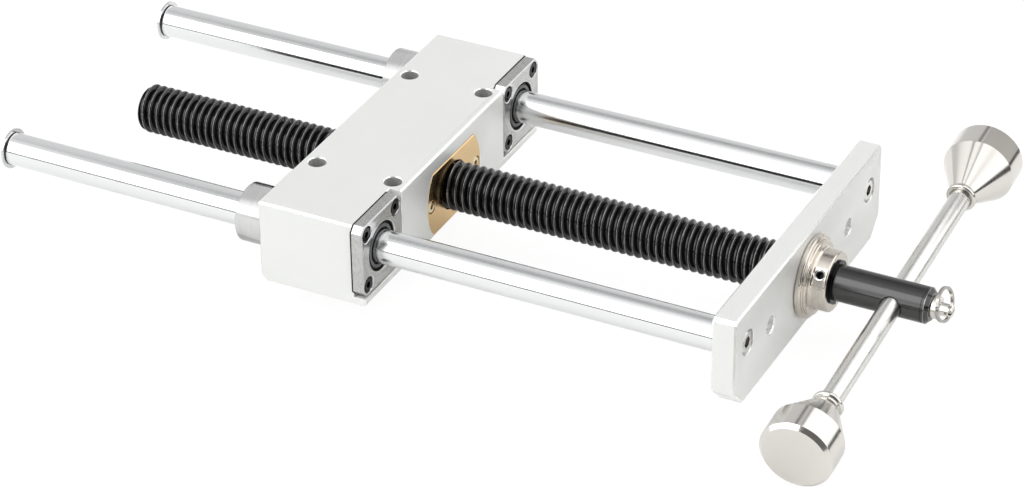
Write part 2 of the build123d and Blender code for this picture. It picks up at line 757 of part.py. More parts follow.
rim = lock_disc_diameter / 2
with BuildPart() as lock_disc:
    with BuildSketch(spindle_axial_plane):
        with BuildLine():
            Polyline(
                (neck_front_y, lock_boss_diameter / 2 + screw_gap),
                (neck_front_y, rim - lock_edge_chamfer),
                (neck_front_y - lock_edge_chamfer, rim),
                (dish_front_y, rim),
                (dish_front_y, rim - lock_disc_wall),
                (dish_front_y + lock_dish_depth, rim - lock_disc_wall),
                (dish_front_y + lock_dish_depth, lock_boss_diameter / 2 + screw_gap),
                close=True,
            )
        make_face()
    revolve(axis=spindle_axis)
save(lock_disc.part, "lock_disc")

with BuildPart() as lock_pin:
    with BuildSketch(spindle_axial_plane):
        with Locations((pin_y, 0)):
            Circle(lock_pin_diameter / 2)
    extrude(amount=lock_pin_length / 2, both=True)
save(lock_pin.part, "lock_pin")
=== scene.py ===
"""Front vise for a woodworking bench, dressed and lit as a studio picture.

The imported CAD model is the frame. Turned and threaded pieces are built again here with
finer forms on the same axes, and the other nodes keep their CAD shape and get a finish.
"""
import logging
from dataclasses import dataclass
from enum import Enum
from math import ceil, cos, pi, radians, sin, tan
from typing import Optional, Sequence, Union

import bmesh
import bpy
from mathutils import Matrix, Vector
from mathutils.geometry import convex_hull_2d


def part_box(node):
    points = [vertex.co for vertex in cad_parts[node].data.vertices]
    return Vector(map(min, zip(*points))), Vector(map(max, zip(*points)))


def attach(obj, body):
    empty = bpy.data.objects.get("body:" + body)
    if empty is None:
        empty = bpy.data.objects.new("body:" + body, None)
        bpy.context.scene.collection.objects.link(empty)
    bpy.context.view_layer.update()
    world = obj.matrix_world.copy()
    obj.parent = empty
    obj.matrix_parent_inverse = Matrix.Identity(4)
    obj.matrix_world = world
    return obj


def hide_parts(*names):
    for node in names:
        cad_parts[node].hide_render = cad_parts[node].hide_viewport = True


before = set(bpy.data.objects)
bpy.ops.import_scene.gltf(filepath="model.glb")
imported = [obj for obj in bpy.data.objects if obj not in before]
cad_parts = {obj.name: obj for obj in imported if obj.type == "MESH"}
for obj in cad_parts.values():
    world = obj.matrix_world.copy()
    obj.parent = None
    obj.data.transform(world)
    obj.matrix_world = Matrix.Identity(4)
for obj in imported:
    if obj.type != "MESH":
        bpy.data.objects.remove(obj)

Tree = bpy.types.NodeTree
Socket = bpy.types.NodeSocket
Material = bpy.types.Material
Piece = bpy.types.Object

LOG = logging.getLogger("vise")
MM = 0.001
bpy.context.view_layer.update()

RIGHT = Vector((1.0, 0.0, 0.0))
REARWARD = Vector((0.0, 1.0, 0.0))
UPWARD = Vector((0.0, 0.0, 1.0))

# Metres within which points are one, in a built mesh, in a CAD node and on a cut.
BUILT_WELD = 1e-7
CAD_WELD = 1e-6
CUT_WELD = 1e-8
# Degrees from which an edge stays sharp, from which it is broken, and below which it is flat.
SHARP_ANGLE = 28.0
BROKEN_ANGLE = 60.0
FLAT_ANGLE = 0.5
# Material numbers of a softened piece: its faces, its broken edges and its first zone.
ON_FACES, ON_EDGES, ON_ZONES = 0, 1, 2
# Facets around a turned piece, and around one whose outline shows.
FACETS = 96
FINE_FACETS = 128
# Millimetres between a hole and what sits in it, and by which a thin line stands out.
CLEARANCE = 0.03
FILM = 0.02


class Body(Enum):
    """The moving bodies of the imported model."""

    BLOCK = "block"
    JAW = "jaw"
    SCREW = "screw"
    HANDLE = "handle"
    LOCK = "lock"


class Side(Enum):
    """The two sides of the bench."""

    LEFT = "left"
    RIGHT = "right"


class Lay(Enum):
    """Which way the marks of a surface run."""

    EVEN = "even"
    ALONG = "along"
    AROUND = "around"


def linear(hex_colour: str) -> tuple[float, float, float, float]:
    """Turn an sRGB hex value into linear RGBA.

    Args:
        hex_colour: Six hex digits.

    Returns:
        The linear colour with alpha 1.
    """
    parts = [int(hex_colour[i:i + 2], 16) / 255 for i in (0, 2, 4)]
    red, green, blue = (c / 12.92 if c <= 0.04045 else ((c + 0.055) / 1.055) ** 2.4 for c in parts)
    return red, green, blue, 1.0


def add_node(
    tree: Tree, kind: str, inputs: Optional[dict[Union[str, int], object]] = None, **settings: object
) -> bpy.types.Node:
    """Add one node with its settings, values and links.

    Args:
        tree: The node tree that gets the node.
        kind: The node's type name after "ShaderNode".
        inputs: Input name or number to a value, or to the output socket that feeds it. A Mix
            node has its values at 2 and 3 and its colours at 6 and 7.
        settings: The node's own properties.

    Returns:
        The new node.
    """
    node = tree.nodes.new("ShaderNode" + kind)
    for key, value in settings.items():
        setattr(node, key, value)
    for key, value in (inputs or {}).items():
        if isinstance(value, Socket):
            tree.links.new(value, node.inputs[key])
        else:
            node.inputs[key].default_value = value
    return node


def fresh_tree(owner: Union[Material, bpy.types.World]) -> Tree:
    """Return the emptied node tree of a material or world.

    Args:
        owner: The material or world.

    Returns:
        Its tree without nodes.
    """
    owner.use_nodes = True
    owner.node_tree.nodes.clear()
    return owner.node_tree


@dataclass(frozen=True)
class Axle:
    """A turning axis in the frame.

    Attributes:
        origin: A point of the axis, in metres.
        along: The axis's unit direction.
    """

    origin: Vector
    along: Vector

    def sides(self) -> tuple[Vector, Vector]:
        """Return two directions square to the axis and to each other.

        Returns:
            Two unit vectors.
        """
        upright = abs(self.along.z) >= 0.9
        first = self.along.cross(RIGHT if upright else UPWARD).normalized()
        return first, self.along.cross(first)

    def point(self, along: float, radius: float, turn: float) -> Vector:
        """Return a point of a turned surface.

        Args:
            along: Distance along the axis, in mm.
            radius: Distance from the axis, in mm.
            turn: Angle around the axis, in radians.

        Returns:
            The point in metres.
        """
        first, second = self.sides()
        out = first * cos(turn) + second * sin(turn)
        return self.origin + self.along * (along * MM) + out * (radius * MM)


@dataclass(frozen=True)
class Corner:
    """A corner of a turned profile, in mm.

    Attributes:
        along: Place along the axis.
        radius: Distance from the axis.
        rounding: Radius of the rounded corner.
    """

    along: float
    radius: float
    rounding: float = 0.0

    def spot(self) -> Vector:
        """Return the corner's place in the section."""
        return Vector((self.along, self.radius))


@dataclass
class Profile:
    """The half section of a turned piece.

    Attributes:
        corners: The section's corners in order.
        closed: Whether the last corner joins the first, as in a ring.
        steps: Runs that a rounded corner is divided into.
        hold: Length in mm beside a rounded corner that takes up its shading.
    """

    corners: Sequence[Corner]
    closed: bool = False
    steps: int = 5
    hold: float = 0.12

    def points(self) -> list[tuple[float, float]]:
        """Return the section's points with its corners rounded.

        Returns:
            Place along the axis and radius of each point, in mm.
        """
        count = len(self.corners)
        found: list[tuple[float, float]] = []
        for i, corner in enumerate(self.corners):
            spots = [corner.spot()]
            inner = self.closed or 0 < i < count - 1
            if corner.rounding and inner:
                spots = self.rounded(self.corners[i - 1], corner, self.corners[(i + 1) % count])
            found.extend((spot.x, spot.y) for spot in spots)
        return found

    def rounded(self, before: Corner, corner: Corner, after: Corner) -> list[Vector]:
        """Return the points that take a corner's place.

        Args:
            before: The corner before it.
            corner: The corner.
            after: The corner after it.

        Returns:
            The points of its arc, and one more at each end where the run is long enough.
        """
        here = corner.spot()
        back, ahead = before.spot() - here, after.spot() - here
        runs = (back.length, ahead.length)
        back.normalize()
        ahead.normalize()
        half = back.angle(ahead) / 2
        reach = corner.rounding / tan(half)
        centre = here + (back + ahead).normalized() * (corner.rounding / sin(half))
        start = (here + back * reach - centre).normalized()
        end = (here + ahead * reach - centre).normalized()
        spots = [
            centre + start.slerp(end, step / self.steps) * corner.rounding
            for step in range(self.steps + 1)
        ]
        room = 4 * self.hold
        if runs[0] - reach > room:
            spots.insert(0, here + back * (reach + self.hold))
        if runs[1] - reach > room:
            spots.append(here + ahead * (reach + self.hold))
        return spots


def finish_mesh(made: bmesh.types.BMesh, name: str, sharp: float = SHARP_ANGLE) -> Piece:
    """Turn mesh code into a smooth shaded object.

    Args:
        made: The mesh in code, which is freed.
        name: The piece's name.
        sharp: Angle in degrees above which an edge stays sharp.

    Returns:
        The new object, linked to the scene.
    """
    bmesh.ops.remove_doubles(made, verts=made.verts, dist=BUILT_WELD)
    bmesh.ops.recalc_face_normals(made, faces=made.faces)
    mesh = bpy.data.meshes.new(name)
    made.to_mesh(mesh)
    made.free()
    mesh.shade_smooth()
    mesh.set_sharp_from_angle(angle=radians(sharp))
    piece = bpy.data.objects.new(name, mesh)
    bpy.context.scene.collection.objects.link(piece)
    return piece


def spin(name: str, axle: Axle, profile: Profile, segments: int = FACETS) -> Piece:
    """Turn a profile about an axis.

    Args:
        name: The piece's name.
        axle: The turning axis.
        profile: The half section.
        segments: Facets around the axis.

    Returns:
        The turned piece.
    """
    made = bmesh.new()
    rings = []
    for along, radius in profile.points():
        if radius:
            turns = (2 * pi * i / segments for i in range(segments))
            rings.append([made.verts.new(axle.point(along, radius, turn)) for turn in turns])
        else:
            rings.append([made.verts.new(axle.point(along, 0.0, 0.0))] * segments)
    pairs = list(zip(rings, rings[1:]))
    if profile.closed:
        pairs.append((rings[-1], rings[0]))
    for first, second in pairs:
        for i in range(segments):
            j = (i + 1) % segments
            loop = list(dict.fromkeys((first[i], first[j], second[j], second[i])))
            if len(loop) > 2:
                made.faces.new(loop)
    return finish_mesh(made, name)


def settle(piece: Piece) -> None:
    """Write a piece's modifiers into its mesh.

    Args:
        piece: The piece.
    """
    seen = piece.evaluated_get(bpy.context.evaluated_depsgraph_get())
    mesh = bpy.data.meshes.new_from_object(seen)
    piece.modifiers.clear()
    piece.data = mesh
    mesh.shade_smooth()
    mesh.set_sharp_from_angle(angle=radians(SHARP_ANGLE))


def drill(piece: Piece, tool: Piece) -> None:
    """Cut a tool out of a piece and delete it.

    Args:
        piece: The piece that is cut.
        tool: The solid that is taken away.
    """
    cut = piece.modifiers.new("cut", "BOOLEAN")
    cut.operation = "DIFFERENCE"
    cut.solver = "EXACT"
    cut.object = tool
    settle(piece)
    bpy.data.objects.remove(tool)


@dataclass(frozen=True)
class Marks:
    """One layer of marks on a surface.

    Attributes:
        size: Width of the marks, in mm.
        length: How many times longer than wide they are.
        tint: Share by which they lighten and darken the colour.
        gloss: Amount by which they change the roughness.
        height: Height of their relief, in mm.
    """

    size: float
    length: float = 1.0
    tint: float = 0.0
    gloss: float = 0.0
    height: float = 0.0


@dataclass(frozen=True)
class Finish:
    """A material and how its surface was made.

    Attributes:
        name: The material's name in the scene.
        slot: The record's material slot; not used.
        colour: sRGB hex colour.
        metallic: Principled metallic value.
        roughness: Principled roughness value.
        marks: The layers of marks.
        lay: The way that the marks run.
        edge_colour: Colour of machined chamfers, where they differ.
        edge_roughness: Roughness of those chamfers.
        ior: Index of refraction of a material that isn't metal.
        grain: How much farther the shine spreads across the marks than along them.
    """

    name: str
    slot: str
    colour: str
    metallic: float
    roughness: float
    marks: tuple[Marks, ...]
    lay: Lay = Lay.EVEN
    edge_colour: str = ""
    edge_roughness: float = 0.0
    ior: float = 1.5
    grain: float = 0.0

    def material(self, axle: Optional[Axle] = None) -> Material:
        """Build the material.

        Args:
            axle: The axis that the marks run along or around.

        Returns:
            The node material.
        """
        made = bpy.data.materials.new(self.name)
        tree = fresh_tree(made)
        shader = add_node(tree, "BsdfPrincipled", {"Metallic": self.metallic, "IOR": self.ior})
        if self.grain and axle:
            quarter_turn = 0.25 if self.lay is Lay.AROUND else 0.0
            shader.inputs["Anisotropic"].default_value = self.grain
            shader.inputs["Anisotropic Rotation"].default_value = quarter_turn
            tree.links.new(self.around(tree, axle), shader.inputs["Tangent"])
        tint, rough, normal = self.marked(tree, axle)
        colour = add_node(
            tree, "Mix", {6: linear(self.colour), 7: tint, "Factor": 1.0},
            data_type="RGBA", blend_type="MULTIPLY",
        ).outputs[2]
        if self.edge_colour:
            mask = self.edge_mask(tree)
            colour = add_node(
                tree, "Mix", {"Factor": mask, 6: colour, 7: linear(self.edge_colour)}, data_type="RGBA"
            ).outputs[2]
            rough = add_node(
                tree, "Mix", {"Factor": mask, 2: rough, 3: self.edge_roughness}, data_type="FLOAT"
            ).outputs[0]
        tree.links.new(colour, shader.inputs["Base Color"])
        tree.links.new(rough, shader.inputs["Roughness"])
        if normal:
            tree.links.new(normal, shader.inputs["Normal"])
        add_node(tree, "OutputMaterial", {"Surface": shader.outputs[0]})
        return made

    def marked(self, tree: Tree, axle: Optional[Axle]) -> tuple[Socket, Socket, Optional[Socket]]:
        """Lay the marks over one another.

        Args:
            tree: The material's tree.
            axle: The axis of the marks, if they have one.

        Returns:
            Sockets of the colour's factor, of the roughness and, with relief, of the normal.
        """
        place = self.coordinates(tree, axle)
        tint: Union[float, Socket] = 1.0
        rough: Union[float, Socket] = self.roughness
        normal: Optional[Socket] = None
        for number, layer in enumerate(self.marks):
            level = self.layer(tree, place, layer, number)
            tint, rough = (
                add_node(
                    tree, "Math", {0: level, 1: 2 * change, 2: whole}, operation="MULTIPLY_ADD"
                ).outputs[0]
                for change, whole in ((layer.tint, tint), (layer.gloss, rough))
            )
            if layer.height:
                relief: dict[str, object] = {"Height": level, "Distance": layer.height * MM}
                if normal:
                    relief["Normal"] = normal
                normal = add_node(tree, "Bump", relief).outputs["Normal"]
        return tint, rough, normal

    def coordinates(self, tree: Tree, axle: Optional[Axle]) -> Socket:
        """Return the coordinates that the marks follow, in mm.

        Args:
            tree: The material's tree.
            axle: The axis of the marks, if they have one.

        Returns:
            A vector socket: along the axis first where there is one.
        """
        if self.lay is Lay.EVEN or axle is None:
            source = add_node(tree, "TexCoord").outputs["Object"]
            return add_node(
                tree, "VectorMath", {0: source, "Scale": 1 / MM}, operation="SCALE"
            ).outputs[0]
        out = self.outward(tree, axle)
        parts = [
            add_node(
                tree, "VectorMath", {0: out, 1: direction / MM}, operation="DOT_PRODUCT"
            ).outputs["Value"]
            for direction in (axle.along, *axle.sides())
        ]
        if self.lay is Lay.ALONG:
            return add_node(tree, "CombineXYZ", dict(enumerate(parts))).outputs[0]
        flat = add_node(tree, "CombineXYZ", {1: parts[1], 2: parts[2]}).outputs[0]
        radius = add_node(tree, "VectorMath", {0: flat}, operation="LENGTH").outputs["Value"]
        turn = add_node(tree, "Math", {0: parts[2], 1: parts[1]}, operation="ARCTAN2").outputs[0]
        return add_node(tree, "CombineXYZ", {0: parts[0], 1: radius, 2: turn}).outputs[0]

    @staticmethod
    def outward(tree: Tree, axle: Axle) -> Socket:
        """Return the way from an axis's origin to each point of a surface.

        Args:
            tree: The material's tree.
            axle: The axis.

        Returns:
            A vector socket, in metres.
        """
        source = add_node(tree, "TexCoord").outputs["Object"]
        return add_node(
            tree, "VectorMath", {0: source, 1: axle.origin}, operation="SUBTRACT"
        ).outputs[0]

    @classmethod
    def around(cls, tree: Tree, axle: Axle) -> Socket:
        """Return the direction around an axis at each point of a surface.

        Args:
            tree: The material's tree.
            axle: The axis.

        Returns:
            A vector socket.
        """
        turned = add_node(
            tree, "VectorMath", {0: axle.along, 1: cls.outward(tree, axle)},
            operation="CROSS_PRODUCT",
        ).outputs[0]
        return add_node(
            tree, "VectorTransform", {0: turned},
            vector_type="VECTOR", convert_from="OBJECT", convert_to="WORLD",
        ).outputs[0]

    def layer(self, tree: Tree, place: Socket, marks: Marks, number: int) -> Socket:
        """Return one layer of marks as a level about zero.

        Args:
            tree: The material's tree.
            place: Coordinates in mm.
            marks: The layer.
            number: The layer's number, which shifts its pattern.

        Returns:
            A value socket from about -0.5 to 0.5.
        """
        wide, long = 1 / marks.size, 1 / (marks.size * marks.length)
        marks_in_a_radian = 8 / marks.length
        scale = {
            Lay.EVEN: (wide, wide, wide),
            Lay.ALONG: (long, wide, wide),
            Lay.AROUND: (wide, wide, marks_in_a_radian),
        }[self.lay]
        shift = (17.3 * number, 5.1 * number, 3.7)
        scaled = add_node(
            tree, "VectorMath", {0: place, 1: scale, 2: shift}, operation="MULTIPLY_ADD"
        ).outputs[0]
        noise = add_node(
            tree, "TexNoise", {"Vector": scaled, "Scale": 1.0, "Detail": 2.0, "Roughness": 0.6}
        ).outputs[0]
        return add_node(tree, "Math", {0: noise, 1: 0.5}, operation="SUBTRACT").outputs[0]

    @staticmethod
    def edge_mask(tree: Tree) -> Socket:
        """Return 1 on chamfers of a squared block and 0 on its faces.

        Args:
            tree: The material's tree.

        Returns:
            The mask's socket.
        """
        on_face, on_chamfer = 0.95, 0.85
        normal = add_node(tree, "TexCoord").outputs["Normal"]
        size = add_node(tree, "VectorMath", {0: normal}, operation="ABSOLUTE").outputs[0]
        widest, *parts = add_node(tree, "SeparateXYZ", {0: size}).outputs
        for part in parts:
            widest = add_node(tree, "Math", {0: widest, 1: part}, operation="MAXIMUM").outputs[0]
        return add_node(tree, "MapRange", {0: widest, 1: on_face, 2: on_chamfer}).outputs[0]


# The marks are drawn at 0.25 mm or more: finer grit and tool lines would not show.

# Bead blasted and clear anodised: an even satin with a fine grain, and chamfers cut bright.
# The blast grain is about 0.1 mm and is drawn at 0.5 mm, so that it shows.
BLASTED_ALUMINIUM = Finish(
    "aluminium_bead_blasted_anodised", "anodised_aluminium", "EFF0EE", 0.6, 0.5,
    (Marks(0.5, tint=0.05, gloss=0.05, height=0.012), Marks(30, tint=0.012, gloss=0.02)),
    edge_colour="FBFBFA", edge_roughness=0.22,
)
# Freshly cut aluminium on the broken edges: brighter than the blasted faces beside it.
MILLED_ALUMINIUM = Finish(
    "aluminium_edges_milled", "anodised_aluminium", "FBFBFA", 1.0, 0.2,
    (Marks(0.4, tint=0.04, gloss=0.05),),
)
# Drilled walls: greyer than the faces, with torn marks of the drill.
DRILLED_ALUMINIUM = Finish(
    "aluminium_drilled", "anodised_aluminium", "D4D4D2", 0.6, 0.4,
    (Marks(0.5, tint=0.2, gloss=0.1, height=0.01),),
)
# Ground bearing steel: a mottled grey shine with fine grinding lines round the bore.
GROUND_STEEL = Finish(
    "bearing_steel_ground", "ground_steel", "C2C2C1", 1.0, 0.3,
    (Marks(0.8, 3, tint=0.3, gloss=0.12, height=0.006), Marks(6, 3, tint=0.08)),
    lay=Lay.AROUND, grain=0.5,
)
# Edges of hardened steel, where the wheel leaves them bright.
GROUND_EDGES = Finish(
    "bearing_steel_edges_polished", "ground_steel", "E4E4E4", 1.0, 0.2,
    (Marks(0.4, tint=0.05, gloss=0.05),),
)
# The shell's ground barrel: brighter than its flange.
GROUND_SLEEVE = Finish(
    "bearing_steel_barrel_ground", "ground_steel", "DADADA", 1.0, 0.16,
    (Marks(0.5, 12, tint=0.15, gloss=0.08, height=0.002), Marks(6, 3, tint=0.06)),
    lay=Lay.AROUND, grain=0.7,
)
# Painted shade: a dark line laid in the narrow gaps between parts, where shade falls.
JOINT_SHADE = Finish(
    "joint_painted_shade", "ground_steel", "2C2B2A", 0.3, 0.6,
    (Marks(0.6, tint=0.4, gloss=0.2),),
)
# Hard chromed and ground: a mirror with hardly any haze.
HARD_CHROME = Finish(
    "steel_hard_chromed_ground", "hard_chrome", "EFF0F1", 1.0, 0.14,
    (Marks(0.25, 14, tint=0.012, gloss=0.03, height=0.0003), Marks(22, tint=0.01, gloss=0.02)),
    lay=Lay.AROUND, grain=0.97,
)
# Black oxide on rolled thread: oily black that mirrors the lamps.
BLACK_THREAD = Finish(
    "steel_rolled_black_oxide", "black_oxide_steel", "3A3A3B", 0.9, 0.12,
    (Marks(0.6, tint=0.25, gloss=0.08, height=0.004), Marks(9, tint=0.15, gloss=0.05)),
)
# Black oxide on turned steel: a satin black with the tool's fine rings.
BLACK_SPINDLE = Finish(
    "steel_turned_black_oxide", "black_oxide_steel", "4F4F4F", 0.9, 0.16,
    (Marks(0.3, 6, tint=0.15, gloss=0.06, height=0.002), Marks(12, tint=0.12, gloss=0.06)),
    lay=Lay.AROUND, grain=0.8,
)
# Black oxide on small hardened parts: nearly black, with an oily shine.
BLACK_SCREWS = Finish(
    "screws_black_oxide", "black_oxide_steel", "161618", 0.9, 0.22,
    (Marks(0.4, tint=0.25, gloss=0.1, height=0.004),),
)
# Turned brass: warm metal with fine tool lines and a little tarnish.
TURNED_BRASS = Finish(
    "brass_turned", "brass", "EDCC99", 1.0, 0.2,
    (Marks(0.25, 20, tint=0.05, gloss=0.05, height=0.0015), Marks(5, 3, tint=0.08, gloss=0.05)),
    lay=Lay.AROUND,
)
# Plated cap screws of the nut, pale gold.
BRASS_SCREWS = Finish(
    "screws_brass_plated", "brass", "F2E4C4", 1.0, 0.16,
    (Marks(0.5, tint=0.08, gloss=0.06, height=0.003),),
)
# Sintered bronze: brown, dull, with open pores.
SINTERED_BRONZE = Finish(
    "bronze_sintered", "bronze", "A9805A", 1.0, 0.46,
    (Marks(0.35, tint=0.25, gloss=0.1, height=0.01),),
)
# Turned steel under dull nickel: warm grey with rings from the tool.
TURNED_NICKEL = Finish(
    "steel_turned_nickel_plated", "turned_nickel", "D8D1C8", 1.0, 0.1,
    (Marks(0.35, 16, tint=0.25, gloss=0.08, height=0.004), Marks(5, 2, tint=0.15, gloss=0.04)),
    lay=Lay.AROUND, grain=0.95,
)
# Drawn and brushed stainless: streaks along the bar.
BRUSHED_STAINLESS = Finish(
    "stainless_brushed", "brushed_stainless", "E2E1DE", 1.0, 0.26,
    (Marks(0.3, 30, tint=0.2, gloss=0.12, height=0.003), Marks(2, 20, tint=0.08, gloss=0.04)),
    lay=Lay.ALONG, grain=0.6,
)
# Turned and polished stainless: bright, with the faintest rings.
POLISHED_STAINLESS = Finish(
    "stainless_turned_polished", "polished_stainless", "DEDBD6", 1.0, 0.16,
    (Marks(0.25, 20, tint=0.02, gloss=0.03, height=0.0006), Marks(8, 2, tint=0.02, gloss=0.02)),
    lay=Lay.AROUND,
)
# Hardened spring wire: a thin grey mirror.
SPRING_WIRE = Finish(
    "spring_wire_polished", "polished_stainless", "AFACA8", 1.0, 0.1,
    (Marks(0.3, tint=0.1, gloss=0.05), Marks(3, tint=0.1)),
)
# Painted highlight: bright lines laid on the edges of black oxide steel.
EDGE_HIGHLIGHT = Finish(
    "steel_edges_painted_highlight", "black_oxide_steel", "8E8E8C", 1.0, 0.2,
    (Marks(0.3, tint=0.3, gloss=0.1), Marks(2, tint=0.3)),
)
# Painted highlight: a bright broken line laid along the thread's crests.
CREST_HIGHLIGHT = Finish(
    "thread_crests_painted_highlight", "black_oxide_steel", "8A8A89", 1.0, 0.16,
    (Marks(0.6, tint=0.7, gloss=0.1), Marks(2.5, tint=0.9)),
)
# Stamped spring steel left bright: a hard grey shine with fine scratches.
BRIGHT_SPRING_STEEL = Finish(
    "spring_steel_stamped_bright", "spring_steel", "DCDCDD", 1.0, 0.2,
    (Marks(0.3, tint=0.1, gloss=0.08, height=0.002), Marks(3, tint=0.08)),
)
# Cold headed stainless screws: a plain shine, slightly uneven.
BRIGHT_SCREWS = Finish(
    "screws_stainless", "polished_stainless", "E0DEDA", 1.0, 0.18,
    (Marks(0.4, tint=0.08, gloss=0.06, height=0.002), Marks(2.5, tint=0.08)),
)
# Moulded nitrile rubber, dull black with a slight bloom; its black in the seals' grooves and beside
# the rod is painted shade.
RUBBER_AND_GROOVE_SHADE = Finish(
    "rubber_nitrile_black_and_groove_shade", "nitrile_rubber", "0A0A0C", 0.0, 0.5,
    (Marks(0.5, tint=0.5, gloss=0.2, height=0.01), Marks(4, tint=0.25)),
    ior=1.52,
)
# The seal's flat face, ground grey and speckled with grit.
GROUND_RUBBER = Finish(
    "rubber_nitrile_ground", "nitrile_rubber", "5E5E60", 0.0, 0.5,
    (Marks(0.5, tint=0.9, gloss=0.2, height=0.02), Marks(2, tint=0.3)),
    ior=1.52,
)
# Moulded acetal: pale, even and a little waxy.
MOULDED_POLYMER = Finish(
    "polymer_moulded", "cage_polymer", "D8D6CE", 0.0, 0.42,
    (Marks(0.5, tint=0.04, gloss=0.05, height=0.003),),
    ior=1.48,
)
# Lapped chrome steel balls: a plain mirror.
LAPPED_STEEL = Finish(
    "bearing_balls_lapped", "bearing_balls", "E4E5E8", 1.0, 0.08,
    (Marks(1.0, tint=0.02, gloss=0.02),),
)


@dataclass(frozen=True)
class Zone:
    """A part of a CAD piece with a finish of its own.

    Attributes:
        finish: The finish.
        axle: The axis of a round zone.
        radius: Radius of the round zone, in mm.
        facing: The way that broken edges of the zone face, where it isn't round.
        margin: How far past the radius a face of a round zone may lie, in mm.
    """

    finish: Finish
    axle: Optional[Axle] = None
    radius: float = 0.0
    facing: Optional[Vector] = None
    margin: float = 0.05

    def holds(self, face: bpy.types.MeshPolygon) -> bool:
        """Return whether a face lies in the zone.

        Args:
            face: A face of the softened piece.

        Returns:
            Whether it does.
        """
        if self.axle is None:
            leans = face.normal.dot(self.facing) > 0.2
            return face.material_index == ON_EDGES and leans
        off = face.center - self.axle.origin
        off -= self.axle.along * off.dot(self.axle.along)
        is_wall = abs(face.normal.dot(self.axle.along)) < 0.1
        return is_wall and off.length < (self.radius + self.margin) * MM


def softened(
    node: str, name: str, width: float, materials: Sequence[Material], zones: Sequence[Zone]
) -> Piece:
    """Copy a CAD node and break its sharp edges, which then catch the light.

    Args:
        node: The CAD node.
        name: The new piece's name.
        width: Width of the broken edge, in mm.
        materials: The material of the faces, of the broken edges and of each zone.
        zones: The parts with a finish of their own.

    Returns:
        The new piece.
    """
    made = bmesh.new()
    made.from_mesh(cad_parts[node].data)
    bmesh.ops.remove_doubles(made, verts=made.verts, dist=CAD_WELD)
    bmesh.ops.dissolve_limit(
        made, angle_limit=radians(FLAT_ANGLE), verts=made.verts, edges=made.edges,
        use_dissolve_boundaries=False,
    )
    for face in made.faces:
        face.material_index = ON_FACES
    piece = finish_mesh(made, name)
    for material in materials:
        piece.data.materials.append(material)
    bevel = piece.modifiers.new("broken_edges", "BEVEL")
    bevel.width = width * MM
    bevel.segments = 2
    bevel.limit_method = "ANGLE"
    bevel.angle_limit = radians(BROKEN_ANGLE)
    bevel.use_clamp_overlap = False
    bevel.harden_normals = False
    bevel.material = ON_EDGES
    settle(piece)
    for face in piece.data.polygons:
        for number, zone in enumerate(zones):
            if zone.holds(face):
                face.material_index = ON_ZONES + number
    return piece


def axle_of(node: str) -> Axle:
    """Return the rearward axis through the middle of a node.

    Args:
        node: The CAD node.

    Returns:
        The axis, with its origin at the node's centre across it.
    """
    low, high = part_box(node)
    middle = (low + high) / 2
    return Axle(middle - REARWARD * middle.dot(REARWARD), REARWARD)


@dataclass
class Assembly:
    """What every sub-assembly does with its pieces.

    Attributes:
        body: The CAD body that its pieces ride on.
    """

    body: Body

    def place(self, piece: Piece, finish: Finish, axle: Optional[Axle], *nodes: str) -> None:
        """Give a new piece its finish, its body and the nodes that it stands for.

        Args:
            piece: The new piece.
            finish: Its finish.
            axle: The axis of the finish's marks.
            nodes: The CAD nodes that it replaces.
        """
        piece.data.materials.append(finish.material(axle))
        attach(piece, self.body.value)
        if nodes:
            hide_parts(*nodes)
        LOG.info("%s rides on %s in %s", piece.name, self.body.value, finish.name)

    def ring(
        self,
        name: str,
        finish: Finish,
        axle: Axle,
        section: Sequence[tuple[float, float]],
        nodes: Sequence[str] = (),
        segments: int = FACETS,
    ) -> None:
        """Turn a ring and place it.

        Args:
            name: The piece's name.
            finish: Its finish.
            axle: Its axis.
            section: Its section's corners: place along the axis and radius, in mm.
            nodes: The CAD nodes that it replaces.
            segments: Facets around the axis.
        """
        profile = Profile([Corner(*spot) for spot in section], closed=True)
        self.place(spin(name, axle, profile, segments), finish, axle, *nodes)

    def soften(
        self,
        finish: Finish,
        edges: Finish,
        axle: Optional[Axle],
        node: str,
        zones: Sequence[Zone] = (),
        width: float = 0.25,
    ) -> None:
        """Put a copy with broken edges in a node's place.

        Args:
            finish: The finish of its faces.
            edges: The finish of its broken edges.
            axle: The axis of the finish's marks.
            node: The CAD node.
            zones: The parts with a finish of their own.
            width: Width of the broken edges, in mm.
        """
        finishes = [finish, edges, *(zone.finish for zone in zones)]
        made = {each.name: each.material(axle) for each in finishes}
        materials = [made[each.name] for each in finishes]
        piece = softened(node, f"{node}_edged", width, materials, zones)
        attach(piece, self.body.value)
        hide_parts(node)
        LOG.info("%s stands for %s in %s", piece.name, node, finish.name)

    def dress(self, finish: Finish, axle: Optional[Axle], *nodes: str) -> None:
        """Give CAD nodes a finish and leave their shape.

        Args:
            finish: The finish.
            axle: The axis of its marks.
            nodes: The nodes that get it.
        """
        made = finish.material(axle)
        for node in nodes:
            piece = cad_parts[node]
            piece.data.materials.clear()
            piece.data.materials.append(made)
            LOG.info("%s keeps its CAD shape in %s", node, finish.name)


